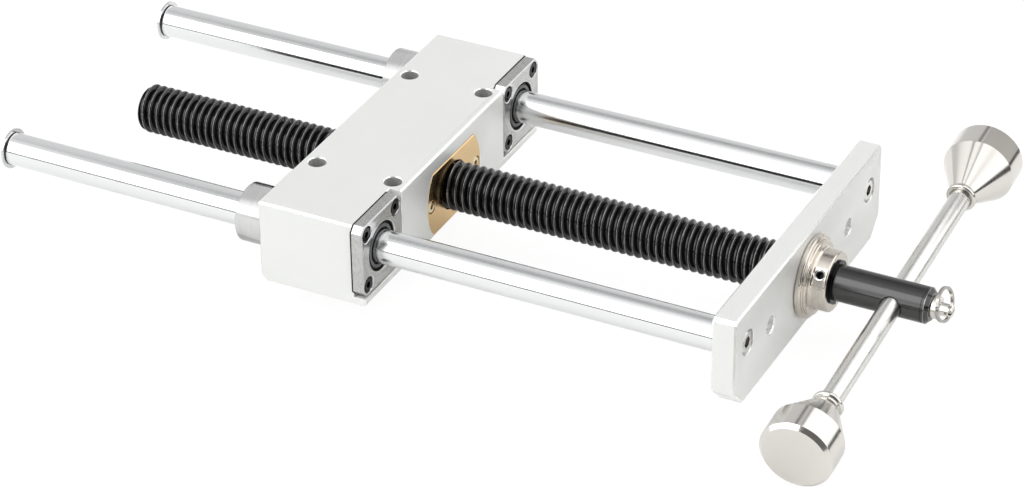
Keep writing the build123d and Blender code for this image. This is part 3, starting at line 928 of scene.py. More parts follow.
@dataclass
class GuideBlock(Assembly):
    """The block under the bench: bearings, seals, nut and their screws. Sizes are in mm.

    Attributes:
        bench_holes: Spacing of the bench bolt holes across and rearward, and their radius.
        shell_diameter: Diameter of a bearing's barrel.
        shell_edge: Width of the broken edges of a bearing's shell.
        flange_thickness: Thickness of its flange.
        seal_outer: Outer diameter of an end seal.
        seal_inner: Its bore.
        seal_width: Its length along the rod.
        rim_width: Width of its outer rim.
        groove_width: Width of the rim and the groove inside it.
        groove_depth: Depth of the grooves on both sides of the seal's ground face.
        lip_width: Width of the groove beside the rod.
        face_depth: How far the rim and the ground face are set back from the seal's end.
        core_depth: How far the rubber under the ground face is set back.
        shade_line: How far the dark sheet of painted shade in a flange's joint stands out past the
            flange.
        shade_lap: How far it reaches in behind the flange.
        shade_thickness: Its thickness.
    """

    body: Body = Body.BLOCK
    bench_holes: tuple[float, float, float] = (91.0, 40.0, 4.25)
    shell_diameter: float = 28.0
    shell_edge: float = 0.5
    flange_thickness: float = 6.0
    seal_outer: float = 24.0
    seal_inner: float = 16.12
    seal_width: float = 2.5
    rim_width: float = 0.2
    groove_width: float = 1.5
    groove_depth: float = 1.4
    lip_width: float = 0.9
    face_depth: float = 0.1
    core_depth: float = 0.3
    shade_line: float = 0.45
    shade_lap: float = 1.5
    shade_thickness: float = 0.06

    def build(self) -> None:
        """Dress the block's nodes and build its seals."""
        across, rearward, radius = self.bench_holes
        holes = [
            Zone(
                DRILLED_ALUMINIUM,
                Axle(Vector((x * across / 2, y * rearward / 2, 0.0)) * MM, UPWARD),
                radius,
            )
            for x in (-1, 1) for y in (-1, 1)
        ]
        self.soften(BLASTED_ALUMINIUM, MILLED_ALUMINIUM, None, "guide_block", holes)
        for side in Side:
            name = side.value
            axle = axle_of(f"guide_rod_{name}")
            zones = (
                Zone(GROUND_SLEEVE, axle, self.shell_diameter / 2),
                # The flange's rear-facing broken edges get painted shade, the dark line in its joint
                # with the block.
                Zone(JOINT_SHADE, facing=REARWARD),
            )
            shell = f"bearing_shell_{name}"
            self.soften(GROUND_STEEL, GROUND_EDGES, axle, shell, zones, self.shell_edge)
            self.dress(MOULDED_POLYMER, None, f"ball_cage_{name}")
            self.dress(LAPPED_STEEL, None, f"ball_rows_{name}")
            self.dress(BLACK_SCREWS, None, f"bearing_screws_{name}")
            self.seals(name, axle)
            self.joint(name, axle)
        self.dress(TURNED_BRASS, axle_of("lead_screw"), "screw_nut")
        self.dress(BRASS_SCREWS, None, "nut_screws")

    def joint(self, name: str, axle: Axle) -> None:
        """Build a thin dark sheet that paints the shade in the joint behind a bearing's flange.

        Args:
            name: The side.
            axle: The bearing's axis.
        """
        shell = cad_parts[f"bearing_shell_{name}"]
        low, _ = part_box(shell.name)
        rear = low.y + self.flange_thickness * MM
        front = rear - self.shade_thickness * MM
        outline = [Vector((vertex.co.x, vertex.co.z)) for vertex in shell.data.vertices]
        centre = Vector((axle.origin.x, axle.origin.z))
        section = (
            (front, -self.shade_lap), (front, self.shade_line),
            (rear, self.shade_line), (rear, -self.shade_lap),
        )
        made = bmesh.new()
        loops = []
        for index in convex_hull_2d(outline):
            spot = outline[index] - centre
            loop = []
            for along, reach in section:
                place = centre + spot + spot.normalized() * reach * MM
                loop.append(made.verts.new((place.x, along, place.y)))
            loops.append(loop)
        for i, loop in enumerate(loops):
            for j in range(len(section)):
                made.faces.new((loops[i - 1][j - 1], loops[i - 1][j], loop[j], loop[j - 1]))
        line = finish_mesh(made, f"bearing_oil_line_{name}")
        self.place(line, JOINT_SHADE, axle)

    def seals(self, name: str, axle: Axle) -> None:
        """Build the two end seals of a bearing.

        Args:
            name: The side.
            axle: The bearing's axis.
        """
        low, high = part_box(f"bearing_seals_{name}")
        outer, inner = self.seal_outer / 2, self.seal_inner / 2
        rim, face_outer = outer - self.rim_width, outer - self.groove_width
        face_inner = inner + self.lip_width
        depths = (self.face_depth, self.core_depth, self.groove_depth, self.seal_width)
        for end, place, inward in (("front", low.y, 1), ("rear", high.y, -1)):
            crest, core, root, back = (place / MM + inward * depth for depth in depths)
            # The black body fills the rim, the grooves and the lip beside the rod and paints the shade
            # in them; the grey ground face lies over it.
            self.ring(
                f"bearing_seal_{name}_{end}", RUBBER_AND_GROOVE_SHADE, axle,
                (
                    (back, outer), (crest, outer), (crest, rim), (root, rim), (root, face_outer),
                    (core, face_outer), (core, face_inner), (root, face_inner), (root, inner),
                    (back, inner),
                ),
                (f"bearing_seals_{name}",) if end == "front" else (),
            )
            self.ring(
                f"bearing_seal_face_{name}_{end}", GROUND_RUBBER, axle,
                ((core, face_outer), (crest, face_outer), (crest, face_inner), (core, face_inner)),
            )


@dataclass
class Jaw(Assembly):
    """The front plate with its rods and rings, and the screw's bush and washer. Sizes are in mm.

    Attributes:
        rod_diameter: Diameter of a guide rod.
        rod_chamfer: Chamfer of its ends.
        chamfer_rounding: Rounding where the rear chamfer meets the rod's surface.
        tip_rounding: Rounding where it meets the end face.
        groove_depth: Depth of the ring's groove in the rod.
        groove_width: Its width.
        groove_rounding: Rounding of its edges.
        shade_width: Length of the painted shade line in front of the ring.
        shade_height: How far that line stands out beside the ring.
        shade_tip: How far it stands out at its front end.
        shade_root: How deep it starts under the rod's surface.
    """

    body: Body = Body.JAW
    rod_diameter: float = 16.0
    rod_chamfer: float = 0.8
    chamfer_rounding: float = 0.3
    tip_rounding: float = 0.2
    groove_depth: float = 0.4
    groove_width: float = 1.0
    groove_rounding: float = 0.08
    shade_width: float = 0.55
    shade_height: float = 0.06
    shade_tip: float = 0.01
    shade_root: float = 0.05

    def build(self) -> None:
        """Dress the plate and build the rods."""
        self.soften(BLASTED_ALUMINIUM, MILLED_ALUMINIUM, None, "front_plate")
        self.dress(BRIGHT_SCREWS, None, "rod_screws")
        self.dress(SINTERED_BRONZE, axle_of("lead_screw"), "spindle_bush", "thrust_washer")
        for side in Side:
            self.dress(BRIGHT_SPRING_STEEL, None, f"retaining_ring_{side.value}")
            self.rod(side.value)

    def rod(self, name: str) -> None:
        """Build one guide rod and the line of painted shade in front of its ring.

        Args:
            name: The side.
        """
        low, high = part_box(f"guide_rod_{name}")
        ring_low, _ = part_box(f"retaining_ring_{name}")
        axle = axle_of(f"guide_rod_{name}")
        radius, front, rear = self.rod_diameter / 2, low.y / MM, high.y / MM
        groove = ring_low.y / MM - CLEARANCE
        groove_end, bottom = groove + self.groove_width, radius - self.groove_depth
        corners = [
            Corner(front, 0),
            Corner(front, radius - self.rod_chamfer),
            Corner(front + self.rod_chamfer, radius),
            Corner(groove, radius, self.groove_rounding),
            Corner(groove, bottom),
            Corner(groove_end, bottom),
            Corner(groove_end, radius, self.groove_rounding),
            Corner(rear - self.rod_chamfer, radius, self.chamfer_rounding),
            Corner(rear, radius - self.rod_chamfer, self.tip_rounding),
            Corner(rear, 0),
        ]
        rod = spin(f"guide_rod_{name}_chromed", axle, Profile(corners), FINE_FACETS)
        self.place(rod, HARD_CHROME, axle, f"guide_rod_{name}")
        # A thin dark ring in front of the retaining ring paints the shade of the gap between ring and
        # rod.
        start, root = groove - self.shade_width, radius - self.shade_root
        self.ring(
            f"guide_rod_{name}_shade_line", JOINT_SHADE, axle,
            (
                (start, root), (start, radius + self.shade_tip),
                (groove, radius + self.shade_height), (groove, root),
            ),
            segments=FINE_FACETS,
        )


@dataclass
class Screw(Assembly):
    """The lead screw with its plain spindle and snap ring. Sizes are in mm.

    Attributes:
        thread_diameter: Outer diameter of the thread.
        root_diameter: Its root diameter.
        lead: Its lead.
        valley: Share of the thread's wave that is cut off to a flat root.
        roundness: Power that shapes the flanks: below 1 the crests are broader.
        end_chamfer: Chamfer of the thread's rear end.
        facets: Facets around the thread.
        steps: Runs that one pitch is divided into.
        spare_turns: Turns that are built past the ends and cut off there.
        smooth_angle: Angle in degrees above which an edge of the thread stays sharp.
        shoulder: Place along the screw where the plain spindle ends.
        spindle_diameter: Diameter of the plain spindle.
        spindle_chamfer: Chamfer of its front end.
        tip_rounding: Rounding where that chamfer meets the end face.
        chamfer_rounding: Rounding where it meets the spindle's surface.
        spindle_groove: Place behind the front end, width and depth of the turned groove.
        groove_rounding: Rounding of its edges.
        snap_depth: Depth of the snap ring's groove.
        snap_rounding: Rounding of its edges.
        cross_hole: Diameter of the hole for the handle's bar.
        hole_facets: Facets around that hole.
        stud_diameter: Diameter of the lock stud.
        stud_depth: Depth of its hole.
        highlight_width: Length of the painted highlight line at an edge of the spindle.
        highlight_bevel: Width of its bevel in front of the edge.
        highlight_root: How deep it starts under the surface.
    """

    body: Body = Body.SCREW
    thread_diameter: float = 24.0
    root_diameter: float = 19.4
    lead: float = 4.0
    valley: float = 0.06
    roundness: float = 0.75
    end_chamfer: float = 2.0
    facets: int = 44
    steps: int = 14
    spare_turns: int = 3
    smooth_angle: float = 50.0
    shoulder: float = -197.75
    spindle_diameter: float = 17.0
    spindle_chamfer: float = 1.8
    tip_rounding: float = 0.15
    chamfer_rounding: float = 0.3
    spindle_groove: tuple[float, float, float] = (2.6, 0.8, 0.35)
    groove_rounding: float = 0.1
    snap_depth: float = 0.4
    snap_rounding: float = 0.08
    cross_hole: float = 10.6
    hole_facets: int = 64
    stud_diameter: float = 6.0
    stud_depth: float = 16.5
    highlight_width: float = 0.22
    highlight_bevel: float = 0.12
    highlight_root: float = 0.2

    def build(self) -> None:
        """Build the screw and dress its snap ring."""
        axle = axle_of("thrust_collar")
        self.thread(axle)
        self.spindle(axle)
        self.dress(BLACK_SCREWS, None, "spindle_snap_ring")

    def flank(self, share: float) -> float:
        """Return the thread's radius at one place of its wave.

        Args:
            share: The place as a share of one pitch, from a crest.

        Returns:
            The radius in mm.
        """
        wave = 0.5 + 0.5 * cos(2 * pi * share)
        rise = max(0.0, (wave - self.valley) / (1 - self.valley)) ** self.roundness
        return self.root_diameter / 2 + rise * (self.thread_diameter - self.root_diameter) / 2

    def thread(self, axle: Axle) -> None:
        """Build the threaded length, cut off square at both ends.

        Args:
            axle: The screw's axis.
        """
        _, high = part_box("lead_screw")
        front, rear = self.shoulder, high.y / MM
        made = self.helix(axle, front, rear)
        for place, outward in ((front, -1), (rear, 1)):
            cut = bmesh.ops.bisect_plane(
                made, geom=[*made.verts, *made.edges, *made.faces], dist=CUT_WELD,
                plane_co=axle.point(place, 0, 0), plane_no=axle.along * outward, clear_outer=True,
            )
            edges = [item for item in cut["geom_cut"] if isinstance(item, bmesh.types.BMEdge)]
            bmesh.ops.contextual_create(made, geom=edges)
        screw = finish_mesh(made, "lead_screw_thread", self.smooth_angle)
        self.place(screw, BLACK_THREAD, axle, "lead_screw")
        # The crests get a painted highlight.
        screw.data.materials.append(CREST_HIGHLIGHT.material(axle))

    def helix(self, axle: Axle, front: float, rear: float) -> bmesh.types.BMesh:
        """Build the thread as one helical surface that reaches past both of its ends.

        Args:
            axle: The screw's axis.
            front: Where the thread starts, in mm.
            rear: Where it ends, in mm.

        Returns:
            The mesh in code, with the second material, a painted highlight, on its crests.
        """
        rows = (ceil((rear - front) / self.lead) + self.spare_turns) * self.steps
        start = front - self.spare_turns / 2 * self.lead
        made = bmesh.new()
        grid = []
        for j in range(rows + 1):
            base = start + self.lead * j / self.steps
            radius = self.flank(j / self.steps)
            line = []
            for i in range(self.facets):
                along = base + self.lead * i / self.facets
                limit = self.thread_diameter / 2 - max(0.0, along - (rear - self.end_chamfer))
                spot = axle.point(along, min(radius, limit), 2 * pi * i / self.facets)
                line.append(made.verts.new(spot))
            grid.append(line)
        for j in range(rows):
            for i in range(self.facets):
                if i + 1 < self.facets:
                    ahead, ahead_up = grid[j][i + 1], grid[j + 1][i + 1]
                elif j + 1 + self.steps <= rows:
                    ahead, ahead_up = grid[j + self.steps][0], grid[j + 1 + self.steps][0]
                else:
                    continue
                face = made.faces.new((grid[j][i], ahead, ahead_up, grid[j + 1][i]))
                face.material_index = int(j % self.steps == self.steps - 1)
        return made

    def spindle(self, axle: Axle) -> None:
        """Build the plain front end with its grooves, cross hole and painted highlights on its edges.

        Args:
            axle: The screw's axis.
        """
        low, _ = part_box("lead_screw")
        ring_low, ring_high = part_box("spindle_snap_ring")
        front, radius = low.y / MM, self.spindle_diameter / 2
        ring_front, ring_rear = ring_low.y / MM - CLEARANCE, ring_high.y / MM + CLEARANCE
        stud = self.stud_diameter / 2 + CLEARANCE
        place, width, depth = self.spindle_groove
        groove, groove_end = front + place, front + place + width
        corners = [
            Corner(front + self.stud_depth, 0),
            Corner(front + self.stud_depth, stud),
            Corner(front, stud),
            Corner(front, radius - self.spindle_chamfer, self.tip_rounding),
            Corner(front + self.spindle_chamfer, radius, self.chamfer_rounding),
            Corner(groove, radius, self.groove_rounding),
            Corner(groove, radius - depth),
            Corner(groove_end, radius - depth),
            Corner(groove_end, radius, self.groove_rounding),
            Corner(ring_front, radius, self.snap_rounding),
            Corner(ring_front, radius - self.snap_depth),
            Corner(ring_rear, radius - self.snap_depth),
            Corner(ring_rear, radius, self.snap_rounding),
            Corner(self.shoulder, radius),
            Corner(self.shoulder, 0),
        ]
        spindle = spin("lead_screw_spindle", axle, Profile(corners))
        half, bore = self.spindle_diameter, self.cross_hole / 2
        corners = [Corner(-half, 0), Corner(-half, bore), Corner(half, bore), Corner(half, 0)]
        drill(spindle, spin("cross_hole", Handle.bar_axle(), Profile(corners), self.hole_facets))
        self.place(spindle, BLACK_SPINDLE, axle)
        # Thin bright rings on the two edges of the front chamfer paint the highlights there.
        for name, along, size in (
            ("outer", front + self.spindle_chamfer, radius),
            ("inner", front, radius - self.spindle_chamfer),
        ):
            self.ring(
                f"spindle_edge_highlight_{name}", EDGE_HIGHLIGHT, axle,
                (
                    (along - self.highlight_bevel, size - self.highlight_bevel), (along, size + FILM),
                    (along + self.highlight_width, size + FILM),
                    (along + self.highlight_width, size - self.highlight_root),
                ),
            )


@dataclass
class Collar(Assembly):
    """The thrust collar on the spindle, with its grub screw. Sizes are in mm.

    Attributes:
        bore: Bore of the collar.
        mouth_rounding: Rounding of its mouth.
        flange_diameter: Diameter of the flange.
        flange_thickness: Its thickness.
        flange_roundings: Rounding of its rear and its front edge.
        step_diameter: Diameter of the step in front of the flange.
        step_thickness: Its thickness.
        step_roundings: Rounding of its foot and of its edge.
        hub_diameter: Diameter of the hub.
        hub_roundings: Rounding of its foot and of its edge.
        grub_diameter: Diameter of the grub screw's hole.
        grub_mouth: Diameter of its mouth.
        grub_facets: Facets around it.
        rim_width: Width of the bright rim of the grub screw.
        rim_rise: How much higher the rim stands at its outer edge.
    """

    body: Body = Body.SCREW
    bore: float = 17.1
    mouth_rounding: float = 0.3
    flange_diameter: float = 39.6
    flange_thickness: float = 2.8
    flange_roundings: tuple[float, float] = (0.5, 0.9)
    step_diameter: float = 35.6
    step_thickness: float = 1.8
    step_roundings: tuple[float, float] = (0.4, 0.7)
    hub_diameter: float = 28.6
    hub_roundings: tuple[float, float] = (1.6, 0.9)
    grub_diameter: float = 5.06
    grub_mouth: float = 5.8
    grub_facets: int = 48
    rim_width: float = 0.6
    rim_rise: float = 0.1

    def build(self) -> None:
        """Build the collar and dress its grub screw."""
        self.collar(axle_of("thrust_collar"))
        self.dress(BLACK_SCREWS, None, "collar_grub_screw")

    def collar(self, axle: Axle) -> None:
        """Build the thrust collar with its stepped face and grub screw hole.

        Args:
            axle: The screw's axis.
        """
        low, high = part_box("thrust_collar")
        front, rear = low.y / MM, high.y / MM
        face = rear - self.flange_thickness
        step = face - self.step_thickness
        bore, hub = self.bore / 2, self.hub_diameter / 2
        corners = [
            Corner(rear, bore),
            Corner(rear, self.flange_diameter / 2, self.flange_roundings[0]),
            Corner(face, self.flange_diameter / 2, self.flange_roundings[1]),
            Corner(face, self.step_diameter / 2, self.step_roundings[0]),
            Corner(step, self.step_diameter / 2, self.step_roundings[1]),
            Corner(step, hub, self.hub_roundings[0]),
            Corner(front, hub, self.hub_roundings[1]),
            Corner(front, bore, self.mouth_rounding),
        ]
        profile = Profile(corners, closed=True)
        collar = spin("thrust_collar_turned", axle, profile, FINE_FACETS)
        low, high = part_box("collar_grub_screw")
        spot = (low + high) / 2
        centre = axle.point(spot.y / MM, 0, 0)
        radial = Axle(centre, (spot - centre).normalized())
        hole, mouth = self.grub_diameter / 2, self.grub_mouth / 2
        inside, outside = bore - CLEARANCE, 1.0
        corners = [
            Corner(inside, 0), Corner(inside, hole), Corner(hub - (mouth - hole), hole),
            Corner(hub + outside, mouth + outside), Corner(hub + outside, 0),
        ]
        drill(collar, spin("grub_hole", radial, Profile(corners), self.grub_facets))
        self.place(collar, TURNED_NICKEL, axle, "thrust_collar")
        self.grub_rim(radial, hole)

    def grub_rim(self, radial: Axle, hole: float) -> None:
        """Build the bright rim of the grub screw's outer end.

        Args:
            radial: The grub screw's axis, pointing outward.
            hole: Radius of its hole, in mm.
        """
        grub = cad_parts["collar_grub_screw"]
        reach = max((v.co - radial.origin).dot(radial.along) for v in grub.data.vertices) / MM
        inner, outer = hole - self.rim_width, hole - FILM
        self.ring(
            "collar_grub_screw_rim", GROUND_EDGES, radial,
            (
                (reach - FILM, inner), (reach + FILM, inner),
                (reach + FILM + self.rim_rise, outer), (reach - FILM, outer),
            ),
            segments=self.grub_facets,
        )


@dataclass
class Handle(Assembly):
    """The sliding T-bar with its two knobs. Sizes are in mm, places from the bar's middle.

    Attributes:
        tilt: Slope of the bar towards the right, in degrees.
        bar_diameter: Diameter of the bar.
        bar_rounding: Rounding of its ends.
        bar_reach: How far it reaches into a knob.
        neck: Where a knob's neck starts.
        mouth_chamfer: Chamfer of the knob's bore there.
        ring_length: Length of the ring at the neck.
        ring_diameter: Its diameter.
        ring_rounding: Rounding of its edges.
        groove_diameter: Diameter of the groove behind that ring.
        groove_length: Its length.
        groove_roundings: Rounding of its near and of its far corner.
        cone_end: Where the cone ends.
        body_end: Where the round body ends.
        knob_end: Where the knob ends.
        knob_diameter: Diameter of its body.
        face_diameter: Diameter of its end face.
        cone_rounding: Rounding of the edge between cone and body.
        face_rounding: Rounding of the edges of the end chamfer.
    """

    body: Body = Body.HANDLE
    tilt: float = 6.2
    bar_diameter: float = 10.0
    bar_rounding: float = 0.8
    bar_reach: float = 18.0
    neck: float = 78.9
    mouth_chamfer: float = 0.6
    ring_length: float = 2.6
    ring_diameter: float = 14.6
    ring_rounding: float = 1.25
    groove_diameter: float = 12.4
    groove_length: float = 1.2
    groove_roundings: tuple[float, float] = (0.2, 0.3)
    cone_end: float = 102.0
    body_end: float = 115.5
    knob_end: float = 117.4
    knob_diameter: float = 34.2
    face_diameter: float = 30.4
    cone_rounding: float = 0.7
    face_rounding: float = 0.25

    @classmethod
    def bar_axle(cls) -> Axle:
        """Return the bar's axis through the spindle, pointing to the right knob.

        Returns:
            The axis, with its origin in the bar's middle.
        """
        low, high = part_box("handle_bar")
        slope = radians(cls.tilt)
        return Axle((low + high) / 2, Vector((cos(slope), 0.0, sin(slope))))

    def build(self) -> None:
        """Build the bar and both knobs."""
        axle = self.bar_axle()
        radius, half = self.bar_diameter / 2, self.neck + self.bar_reach
        corners = [
            Corner(-half, 0), Corner(-half, radius, self.bar_rounding),
            Corner(half, radius, self.bar_rounding), Corner(half, 0),
        ]
        bar = spin("handle_bar_brushed", axle, Profile(corners))
        self.place(bar, BRUSHED_STAINLESS, axle, "handle_bar")
        for side, sign in ((Side.LEFT, -1), (Side.RIGHT, 1)):
            self.knob(side.value, Axle(axle.origin, axle.along * sign))

    def knob(self, name: str, axle: Axle) -> None:
        """Build one knob.

        Args:
            name: The side.
            axle: The bar's axis, pointing outward.
        """
        ring_end = self.neck + self.ring_length
        groove_end = ring_end + self.groove_length
        bottom = self.neck + self.bar_reach + CLEARANCE
        bore, ring = self.bar_diameter / 2 + CLEARANCE, self.ring_diameter / 2
        groove, body = self.groove_diameter / 2, self.knob_diameter / 2
        corners = [
            Corner(bottom, 0),
            Corner(bottom, bore),
            Corner(self.neck + self.mouth_chamfer, bore),
            Corner(self.neck, bore + self.mouth_chamfer),
            Corner(self.neck, ring, self.ring_rounding),
            Corner(ring_end, ring, self.ring_rounding),
            Corner(ring_end, groove, self.groove_roundings[0]),
            Corner(groove_end, groove, self.groove_roundings[1]),
            Corner(self.cone_end, body, self.cone_rounding),
            Corner(self.body_end, body, self.face_rounding),
            Corner(self.knob_end, self.face_diameter / 2, self.face_rounding),
            Corner(self.knob_end, 0),
        ]
        knob = spin(f"handle_knob_{name}_turned", axle, Profile(corners), FINE_FACETS)
        self.place(knob, POLISHED_STAINLESS, axle, f"handle_knob_{name}")


@dataclass
class Lock(Assembly):
    """The lock screw at the spindle's end, with a split ring through its head. Sizes are in mm.

    Attributes:
        ring_centre: Centre of the ring.
        ring_normal: Direction that the ring faces.
        ring_radius: Radius of the middle of its wire.
        wire: Width of the flat wire across the ring and along its axis.
        coils: Turns of wire that lie side by side.
        coil_gap: Gap between them.
        facets: Facets around the ring in one turn.
    """

    body: Body = Body.LOCK
    ring_centre: tuple[float, float, float] = (-4.23, -275.36, -19.17)
    ring_normal: tuple[float, float, float] = (-0.0885, -0.9728, 0.2141)
    ring_radius: float = 7.67
    wire: tuple[float, float] = (1.2, 0.68)
    coils: int = 2
    coil_gap: float = 0.04
    facets: int = 64

    def build(self) -> None:
        """Dress the stud and hang the ring in it."""
        self.dress(POLISHED_STAINLESS, axle_of("lead_screw"), "lock_stud")
        self.split_ring()

    def split_ring(self) -> None:
        """Coil flat wire to a split ring."""
        axle = Axle(Vector(self.ring_centre) * MM, Vector(self.ring_normal).normalized())
        across, along = self.wire
        pitch = along + self.coil_gap
        made = bmesh.new()
        sections = []
        for step in range(self.coils * self.facets + 1):
            turns = step / self.facets
            place = (turns - self.coils / 2) * pitch
            spots = (
                (place + side * along / 2, self.ring_radius + out * across / 2, 2 * pi * turns)
                for side, out in ((-1, -1), (-1, 1), (1, 1), (1, -1))
            )
            sections.append([made.verts.new(axle.point(*spot)) for spot in spots])
        for first, second in zip(sections, sections[1:]):
            for i in range(4):
                j = (i + 1) % 4
                made.faces.new((first[i], first[j], second[j], second[i]))
        made.faces.new(sections[0])
        made.faces.new(reversed(sections[-1]))
        ring = finish_mesh(made, "lock_split_ring")
        self.place(ring, SPRING_WIRE, axle, "lock_disc", "lock_pin")


@dataclass(frozen=True)
class Edge:
    """A soft edge of a panel, square to one direction of the room.

    Attributes:
        normal: That direction.
        outer: Part of a ray along the normal at which the panel has faded out.
        inner: Part of a ray along the normal from which the panel is full.
        middle: Middle of a band, from which the parts are counted to both sides.
    """

    normal: Sequence[float]
    outer: float
    inner: float
    middle: Optional[float] = None

    @classmethod
    def around(cls, azimuth: float, elevation: float, radius: float, soft: float) -> "Edge":
        """Return the edge of a round patch.

        Args:
            azimuth: Direction of its middle in degrees, from the right towards the rear.
            elevation: Height of its middle in degrees over the horizon.
            radius: Its half width in degrees.
            soft: Half width of the edge, in degrees.

        Returns:
            The edge.
        """
        level, turn = cos(radians(elevation)), radians(azimuth)
        middle = (level * cos(turn), level * sin(turn), sin(radians(elevation)))
        return cls(middle, cos(radians(radius + soft)), cos(radians(radius - soft)))

    def share(self, tree: Tree, ray: Socket) -> Socket:
        """Return how much of the panel a ray meets, as far as this edge goes.

        Args:
            tree: The world's tree.
            ray: The ray's direction.

        Returns:
            A value socket from 0 to 1.
        """
        part = add_node(
            tree, "VectorMath", {0: ray, 1: self.normal}, operation="DOT_PRODUCT"
        ).outputs["Value"]
        if self.middle is not None:
            part = add_node(tree, "Math", {0: part, 1: self.middle}, operation="SUBTRACT").outputs[0]
            part = add_node(tree, "Math", {0: part}, operation="ABSOLUTE").outputs[0]
        return add_node(
            tree, "MapRange", {0: part, 1: self.outer, 2: self.inner},
            interpolation_type="SMOOTHSTEP",
        ).outputs[0]


@dataclass(frozen=True)
class Panel:
    """A part of the room with a level of its own.

    Attributes:
        level: The level, where 1 is white.
        edges: The edges that it lies within.
    """

    level: float
    edges: tuple[Edge, ...]

    def over(self, tree: Tree, ray: Socket, level: Socket) -> Socket:
        """Lay the panel over what is there.

        Args:
            tree: The world's tree.
            ray: The direction of a ray.
            level: The level without the panel.

        Returns:
            The socket of the level with it.
        """
        share, *others = (edge.share(tree, ray) for edge in self.edges)
        for other in others:
            share = add_node(tree, "Math", {0: share, 1: other}, operation="MULTIPLY").outputs[0]
        return add_node(
            tree, "Mix", {"Factor": share, 2: level, 3: self.level}, data_type="FLOAT"
        ).outputs[0]


# The bright middle of the left panel, where its lamp stands.
LAMP = Panel(3.1, (Edge.around(146.9, 44.9, 19.0, 4.0),))
# The dark strip beside the left panel.
STRIP = Panel(0.18, (Edge((-0.1, -0.889, 0.448), 0.07, 0.03, middle=0.0), Edge(RIGHT, -0.3, -0.2)))
# The front panel.
FRONT = Panel(1.5, (Edge(REARWARD, 0.05, 0.02), Edge(UPWARD, 0.0, 0.03)))
# The seam between the panels over the object.
SEAM = Panel(0.4, (Edge(REARWARD, 0.05, 0.03, middle=0.095), Edge(UPWARD, 0.45, 0.6)))
# The dark room between the sheet and the panels.
ROOM = Panel(0.07, (Edge(UPWARD, 0.1, 0.04), Edge(RIGHT + REARWARD, 0.55, 0.45)))
# What lies below the room, past the sheet.
GROUND = Panel(0.85, (Edge(UPWARD, -0.24, -0.28),))
# The dark patches behind the camera, from the top down.
PATCHES = tuple(
    Panel(0.16, (Edge.around(azimuth, elevation, radius, 2.0),))
    for azimuth, elevation, radius in (
        (-152.0, 34.0, 30.0), (-138.0, 14.0, 22.0), (-126.0, -4.0, 14.0),
    )
)


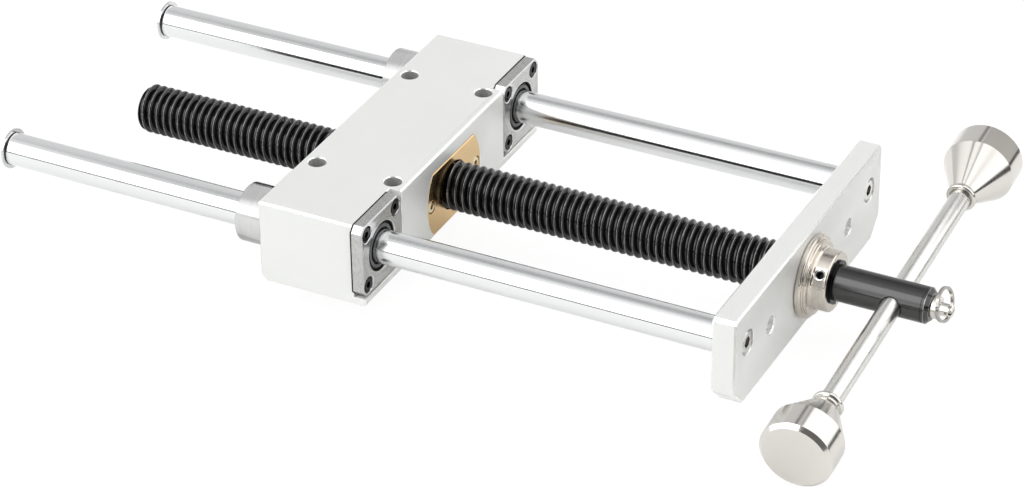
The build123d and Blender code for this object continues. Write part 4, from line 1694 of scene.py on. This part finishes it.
@dataclass
class Studio:
    """Paper sheet, grey card, light tent and camera.

    Attributes:
        floor_height: Height of the sheet, in mm.
        sheet: The sheet's left, right, front and rear edges, in metres.
        paper_colour: sRGB hex colour of the paper.
        white: Share of plain white in the sheet as the camera sees it.
        white_level: Level of that white.
        tent: Angle around the rods' axis, in degrees from the right over the top, to the
            tent's level there.
        panels: What lies over that, in order.
        card_place: How far to the right the grey card stands, in mm.
        card_spread: Its near lower and far upper corner, rearward and upward, in mm.
        card_colour: sRGB hex colour of the card.
        lens: The camera's focal length, in mm.
        camera_place: Where the camera stands, in metres.
        camera_right: Direction to the right of its picture.
        camera_up: Direction to the top of its picture.
    """

    floor_height: float = -57.0
    sheet: tuple[float, float, float, float] = (-1.1, 0.42, -0.5, 3.0)
    paper_colour: str = "F4F4F3"
    white: float = 0.86
    white_level: float = 1.06
    tent: tuple[tuple[float, float], ...] = (
        (-180.0, 0.9), (-90.0, 0.9), (-1.0, 0.9), (0.0, 0.74), (30.0, 0.72), (74.0, 0.72),
        (94.0, 1.15), (150.0, 1.8), (180.0, 2.3),
    )
    panels: tuple[Panel, ...] = (LAMP, STRIP, FRONT, SEAM, ROOM, GROUND, *PATCHES)
    card_place: float = 185.0
    card_spread: tuple[tuple[float, float], tuple[float, float]] = ((-350.0, -5.0), (-236.0, 112.0))
    card_colour: str = "C4C3C1"
    lens: float = 124.36
    camera_place: tuple[float, float, float] = (-1.2591, -0.7049, 0.8424)
    camera_right: tuple[float, float, float] = (0.4509156, -0.8924986, -0.0110212)
    camera_up: tuple[float, float, float] = (0.4799152, 0.2320188, 0.8460784)

    def build(self) -> None:
        """Set the camera, the sheet, the card and the tent."""
        self.camera()
        self.floor()
        self.card()
        self.light()
        bpy.context.scene.view_settings.view_transform = "Standard"

    def camera(self) -> None:
        """Put the camera where the photograph was taken."""
        data = bpy.data.cameras.new("camera")
        data.lens = self.lens
        data.sensor_width = 36.0
        data.clip_start, data.clip_end = 0.05, 50.0
        camera = bpy.data.objects.new("camera", data)
        bpy.context.scene.collection.objects.link(camera)
        right, up = Vector(self.camera_right), Vector(self.camera_up)
        rows = Matrix((right, up, right.cross(up))).transposed().to_4x4()
        camera.matrix_world = Matrix.Translation(self.camera_place) @ rows
        bpy.context.scene.camera = camera

    @staticmethod
    def quad(name: str, material: Material, corners: Sequence[Vector]) -> Piece:
        """Build one flat sheet.

        Args:
            name: Its name.
            material: Its material.
            corners: Its four corners in order.

        Returns:
            The sheet.
        """
        made = bmesh.new()
        made.faces.new([made.verts.new(corner) for corner in corners])
        piece = finish_mesh(made, name)
        piece.data.materials.append(material)
        return piece

    def floor(self) -> None:
        """Lay a paper sheet that is white to the camera and keeps a faint shadow."""
        material = bpy.data.materials.new("paper_white_matt")
        tree = fresh_tree(material)
        seen = add_node(tree, "LightPath").outputs["Is Camera Ray"]
        share = add_node(tree, "Math", {0: seen, 1: self.white}, operation="MULTIPLY").outputs[0]
        paper = add_node(tree, "BsdfDiffuse", {"Color": linear(self.paper_colour)}).outputs[0]
        glow = {"Color": (1, 1, 1, 1), "Strength": self.white_level}
        white = add_node(tree, "Emission", glow).outputs[0]
        mixed = add_node(tree, "MixShader", {0: share, 1: paper, 2: white}).outputs[0]
        add_node(tree, "OutputMaterial", {"Surface": mixed})
        left, right, front, rear = self.sheet
        outline = ((left, front), (right, front), (right, rear), (left, rear))
        corners = [Vector((x, y, self.floor_height * MM)) for x, y in outline]
        floor = self.quad("floor", material, corners)

    def card(self) -> None:
        """Stand a grey card beside the right knob, which only reflections show."""
        material = bpy.data.materials.new("card_grey_matt")
        tree = fresh_tree(material)
        grey = add_node(tree, "BsdfDiffuse", {"Color": linear(self.card_colour)}).outputs[0]
        add_node(tree, "OutputMaterial", {"Surface": grey})
        (near, bottom), (far, top) = self.card_spread
        outline = ((near, bottom), (far, bottom), (far, top), (near, top))
        corners = [Vector((self.card_place, y, z)) * MM for y, z in outline]
        card = self.quad("grey_card", material, corners)
        card.visible_camera = False
        card.visible_diffuse = False
        card.visible_shadow = False

    def light(self) -> None:
        """Light the object from a white tent with the gaps between its panels."""
        world = bpy.data.worlds.new("light_tent")
        bpy.context.scene.world = world
        tree = fresh_tree(world)
        ray = add_node(tree, "TexCoord").outputs["Generated"]
        level = self.around_rods(tree, ray)
        for panel in self.panels:
            level = panel.over(tree, ray, level)
        tent = add_node(tree, "Background", {"Color": level}).outputs[0]
        plain = add_node(tree, "Background", {"Color": (1, 1, 1, 1)}).outputs[0]
        seen = add_node(tree, "LightPath").outputs["Is Camera Ray"]
        mixed = add_node(tree, "MixShader", {0: seen, 1: tent, 2: plain}).outputs[0]
        add_node(tree, "OutputWorld", {"Surface": mixed})

    def around_rods(self, tree: Tree, ray: Socket) -> Socket:
        """Return the tent's level around the rods' axis.

        Args:
            tree: The world's tree.
            ray: The direction of a ray.

        Returns:
            The level's socket.
        """
        x, _, z = add_node(tree, "SeparateXYZ", {0: ray}).outputs
        angle = add_node(tree, "Math", {0: z, 1: x}, operation="ARCTAN2").outputs[0]
        share = add_node(tree, "MapRange", {0: angle, 1: -pi, 2: pi}).outputs[0]
        ramp = add_node(tree, "ValToRGB", {0: share})
        stops = ramp.color_ramp.elements
        top = max(level for _, level in self.tent)
        for number, (degrees, level) in enumerate(self.tent):
            place = (degrees + 180) / 360
            stop = stops[number] if number < 2 else stops.new(place)
            stop.position = place
            stop.color = (level / top, level / top, level / top, 1)
        return add_node(tree, "Math", {0: ramp.outputs[0], 1: top}, operation="MULTIPLY").outputs[0]


def main() -> None:
    """Build the studio and every sub-assembly, and log each one as done."""
    logging.basicConfig(level=logging.INFO, format="%(message)s")
    Studio().build()
    for assembly in (GuideBlock(), Jaw(), Screw(), Collar(), Handle(), Lock()):
        assembly.build()
        LOG.info("%s done", type(assembly).__name__)


if __name__ == "__main__":
    main()
